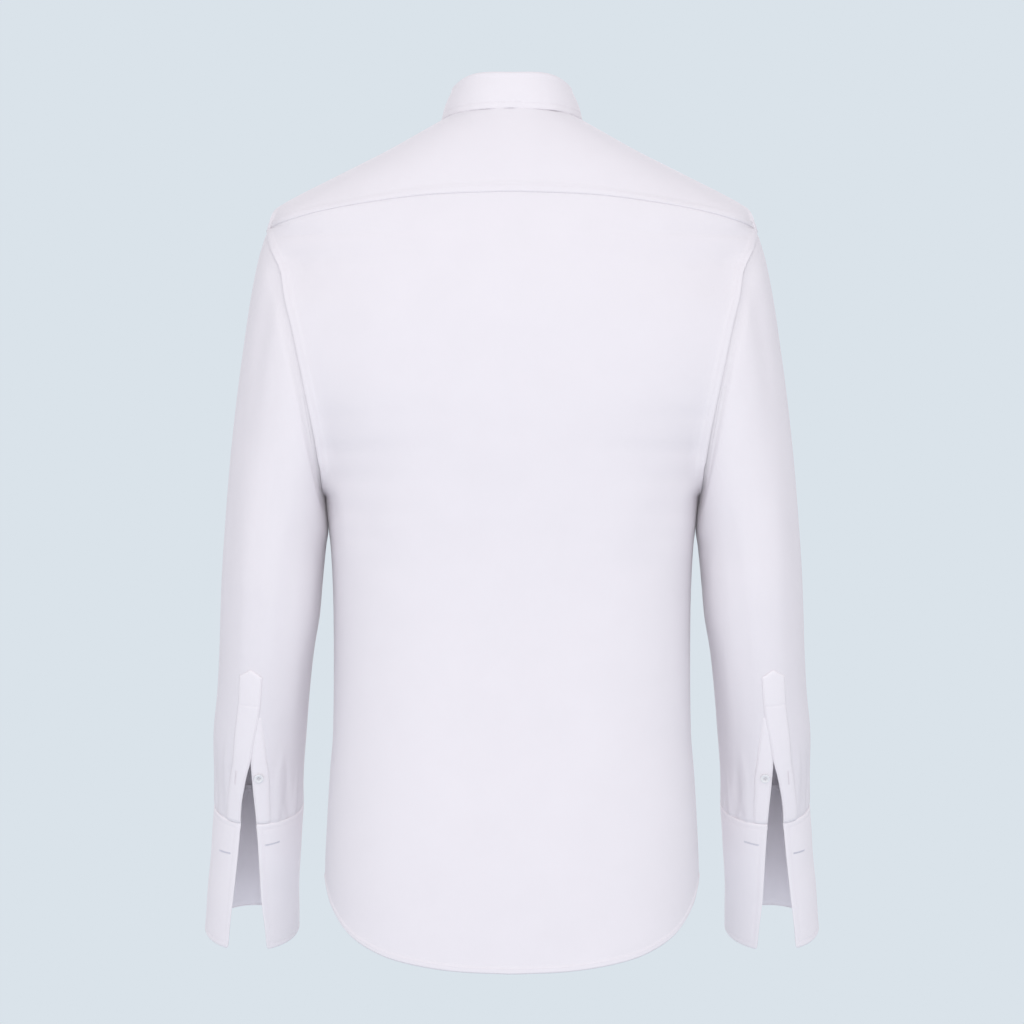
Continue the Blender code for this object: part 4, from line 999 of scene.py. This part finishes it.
def seamLine(grid, edge, distance, start=0.0, end=1.0):
    # the line on a cloth that keeps its distance from one edge, with the way the cloth faces
    both = np.concatenate((grid, gridNormals(grid)), axis=-1)
    if edge in ("left", "right"):
        both = both.transpose(1, 0, 2)
    if edge in ("high", "right"):
        both = both[::-1]
    both = both[:, int(start * both.shape[1]):int(end * both.shape[1])]
    runs = runLength(both[..., :3])
    line = np.array([[np.interp(distance, runs[:, i], both[:, i, k]) for k in range(6)]
                     for i in range(both.shape[1])])
    return line[:, :3], unit(line[:, 3:])

def snapTo(grid, points):
    # points moved along the cloth's normal until they lie on it
    normals = gridNormals(grid).reshape(-1, 3)
    flat = grid.reshape(-1, 3)
    nearest = np.array([np.argmin(np.linalg.norm(flat - p, axis=-1)) for p in points])
    way = normals[nearest]
    return points - way * np.sum((points - flat[nearest]) * way, axis=-1)[:, None], way


def buttonhole(grid, start, end):
    # two bars of close thread side by side
    way = unit(end - start)
    centre = (start + end) / 2
    points, facing = snapTo(grid, centre + np.linspace(-0.5, 0.5, 9)[:, None] * way * stitch["holeLength"])
    side = unit(np.cross(facing, way))
    return [(points + side * s * stitch["holeGap"], facing) for s in (-0.5, 0.5)]


def flipped(paths):
    return [(points * (-1, 1, 1), facing * (-1, 1, 1)) for points, facing in paths]


def stitchPiece(name, paths, material, isHole=False):
    # one piece of thread along several lines, each with its points and the way they face
    edges, first = [], 0
    for points, _ in paths:
        edges += [(first + i, first + i + 1) for i in range(len(points) - 1)]
        first += len(points)
    points, facing = [np.concatenate(part) for part in zip(*paths)]
    mesh = bpy.data.meshes.new(name)
    mesh.from_pydata((points + facing * 0.00005).tolist(), edges, [])
    mesh.attributes.new("facing", "FLOAT_VECTOR", "POINT").data.foreach_set("vector", facing.reshape(-1))
    piece = newObject(name, mesh)
    sizes = (stitch["pitch"], stitch["length"], stitch["width"], stitch["width"])
    if isHole:
        sizes = (stitch["holePitch"], stitch["holeThread"], stitch["holeBar"], stitch["holeThread"])
    evaluated(piece, name, stitchNodes, stitchSockets, dict(zip(
        ("Pitch", "Length", "Width", "Height", "Material"), (*sizes, material))))
    smoothFaces(piece.data)
    return piece


stitchNodes, stitchSockets = stitchTree()
threadHole = weaveMaterial("buttonhole thread", (0.66, 0.655, 0.72), thread=0.00016, strength=0.5)
onEdge, onPlacket = stitch["onEdge"], front["stitchIn"]
bodyLines = [seamLine(grid, *where) for grid, where in (
    (yokeGrid, ("low", yoke["stitchBack"], 0.06, 0.94)), (yokeGrid, ("left", yoke["stitchFront"], 0.08, 1)),
    (yokeGrid, ("right", yoke["stitchFront"], 0.08, 1)), (backGrid, ("low", stitch["onHem"])),
    (frontLeftGrid, ("low", stitch["onHem"])), (frontRightGrid, ("low", stitch["onHem"])),
    (backGrid, ("left", onEdge)), (backGrid, ("right", onEdge)), (frontLeftGrid, ("right", onEdge)),
    (frontRightGrid, ("left", onEdge)), (frontLeftGrid, ("left", onPlacket, 0.0, 0.9)),
    (frontLeftGrid, ("left", front["placket"] - onPlacket, 0.0, 0.9)))]
limbLines = [seamLine(cuffGrid, edge, onEdge) for edge in ("low", "left", "right", "high")]
for name in ("placket", "binding"):
    limbLines += [seamLine(stripGrids[name], edge, strips["stitchIn"]) for edge in ("left", "right")]
limbLines.append(snapTo(stripGrids["placket"], ringPoint(
    cut["sleeve"], strips["crossStitch"], np.linspace(63.5, 89.0, 9), 0.0019)))
collarLines = [seamLine(leafGrid, edge, collar["stitchIn"]) for edge in ("high", "left", "right")]
collarLines.append(seamLine(standGrid, "low", collar["standStitchIn"]))
threads = [stitchPiece("bodyStitches", bodyLines, threadWhite),
           stitchPiece("leftStitches", limbLines, threadWhite),
           stitchPiece("rightStitches", flipped(limbLines), threadWhite),
           stitchPiece("collarStitches", collarLines, threadWhite)]

holes = []
for z in front["buttonZ"]:
    holes += buttonhole(frontLeftGrid, frontSpot(z - 0.007), frontSpot(z + 0.007))
holes += buttonhole(standGrid, standSpot(-96, 0.5), standSpot(-84, 0.5))
cuffHoles = []
for turn0, key0, turn1, key1 in stitch["cuffHoles"]:
    cuffHoles += buttonhole(cuffGrid, ringPoint(cut["cuff"], key0, turn0),
                            ringPoint(cut["cuff"], key1, turn1))
towerHole = buttonhole(stripGrids["placket"], ringPoint(cut["sleeve"], -0.5800, 66.0),
                       ringPoint(cut["sleeve"], -0.5946, 64.0))
threads += [stitchPiece("frontButtonholes", holes, threadWhite, True),
            stitchPiece("cuffButtonholes", cuffHoles + flipped(cuffHoles), threadHole, True),
            stitchPiece("placketButtonholes", towerHole + flipped(towerHole), threadWhite, True)]

print("stage")
stage = {"distance": 3.5, "lens": 133.8, "lookZ": -0.359, "floorZ": -1.45, "floorRadius": 3.0,
         "backdrop": (0.701, 0.767, 0.823, 1), "room": (0.95, 0.95, 1.0, 1), "aim": (0, 0, -0.35),
         "lightSize": 2.4}
camera = newObject("camera", bpy.data.cameras.new("camera"))
camera.data.lens, camera.data.sensor_width, camera.data.clip_end = stage["lens"], 36, 50
camera.location = (0, stage["distance"], stage["lookZ"])
camera.rotation_euler = (math.radians(90), 0, math.radians(180))
bpy.context.scene.camera = camera
bpy.context.scene.view_settings.view_transform = "Standard"

world = bpy.data.worlds.new("studio")
bpy.context.scene.world = world
world.use_nodes = True
tree = world.node_tree
tree.nodes.clear()
path = addNode(tree, "ShaderNodeLightPath")
room = addNode(tree, "ShaderNodeBackground", {"Color": stage["room"], "Strength": 0.86})
seen = addNode(tree, "ShaderNodeBackground", {"Color": stage["backdrop"], "Strength": 1.0})
mix = addNode(tree, "ShaderNodeMixShader", {0: path.outputs["Is Camera Ray"], 1: room.outputs[0],
                                            2: seen.outputs[0]})
addNode(tree, "ShaderNodeOutputWorld", {"Surface": mix.outputs[0]})

for name, place, power in (("key", (0.0, 3.6, 0.25), 46), ("fill", (0.0, -3.2, 0.8), 40)):
    lamp = bpy.data.lights.new(name, "AREA")
    lamp.shape, lamp.size, lamp.energy = "DISK", stage["lightSize"], power
    light = newObject(name, lamp)
    light.location = place
    light.rotation_euler = (Vector(stage["aim"]) - Vector(place)).to_track_quat("-Z", "Y").to_euler()

floorMaterial, _, _ = newMaterial("floor", {"Base Color": (0.62, 0.67, 0.72, 1), "Roughness": 0.9})
work = bmesh.new()
bmesh.ops.create_circle(work, cap_ends=True, radius=stage["floorRadius"], segments=96)
bmesh.ops.translate(work, verts=work.verts, vec=(0, 0, stage["floorZ"]))
floorMesh = bpy.data.meshes.new("floor")
work.to_mesh(floorMesh)
work.free()
floorMesh.materials.append(floorMaterial)
floor = newObject("floor", floorMesh)

# each sheet with its node, its flat size and the cut's own area where that's less
sheets = [(backCloth, "back", (0.47, 0.70), 0.300), (yokeCloth, "yoke", (0.50, 0.12), None),
          (frontLeftCloth, "front_left", (0.27, 0.72), None),
          (frontRightCloth, "front_right", (0.27, 0.72), None)]
for pieces, node, flat, area in ((sleeveCloths, "sleeve", (0.39, 0.53), 0.148),
                                 (cuffCloths, "cuff", (0.28, 0.128), None),
                                 (stripCloths["placket"], "placket", (0.025, 0.140), None),
                                 (stripCloths["binding"], "binding", (0.018, 0.098), None)):
    sheets += [(piece, node + side, flat, area) for piece, side in zip(pieces, ("_left", "_right"))]
sheets += [(standCloth, "collar_stand", (0.420, 0.030), None),
           (leafCloth, "collar_fall", (0.420, 0.050), None)]
for piece, thread, node in sewn:
    for item, finish in ((piece, "pearl"), (thread, "cotton")):
        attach(item, "root")
    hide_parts(node)
for item in threads:
    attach(item, "root")
for piece, node, flat, area in sheets:
    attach(piece, "root")
    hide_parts(node)
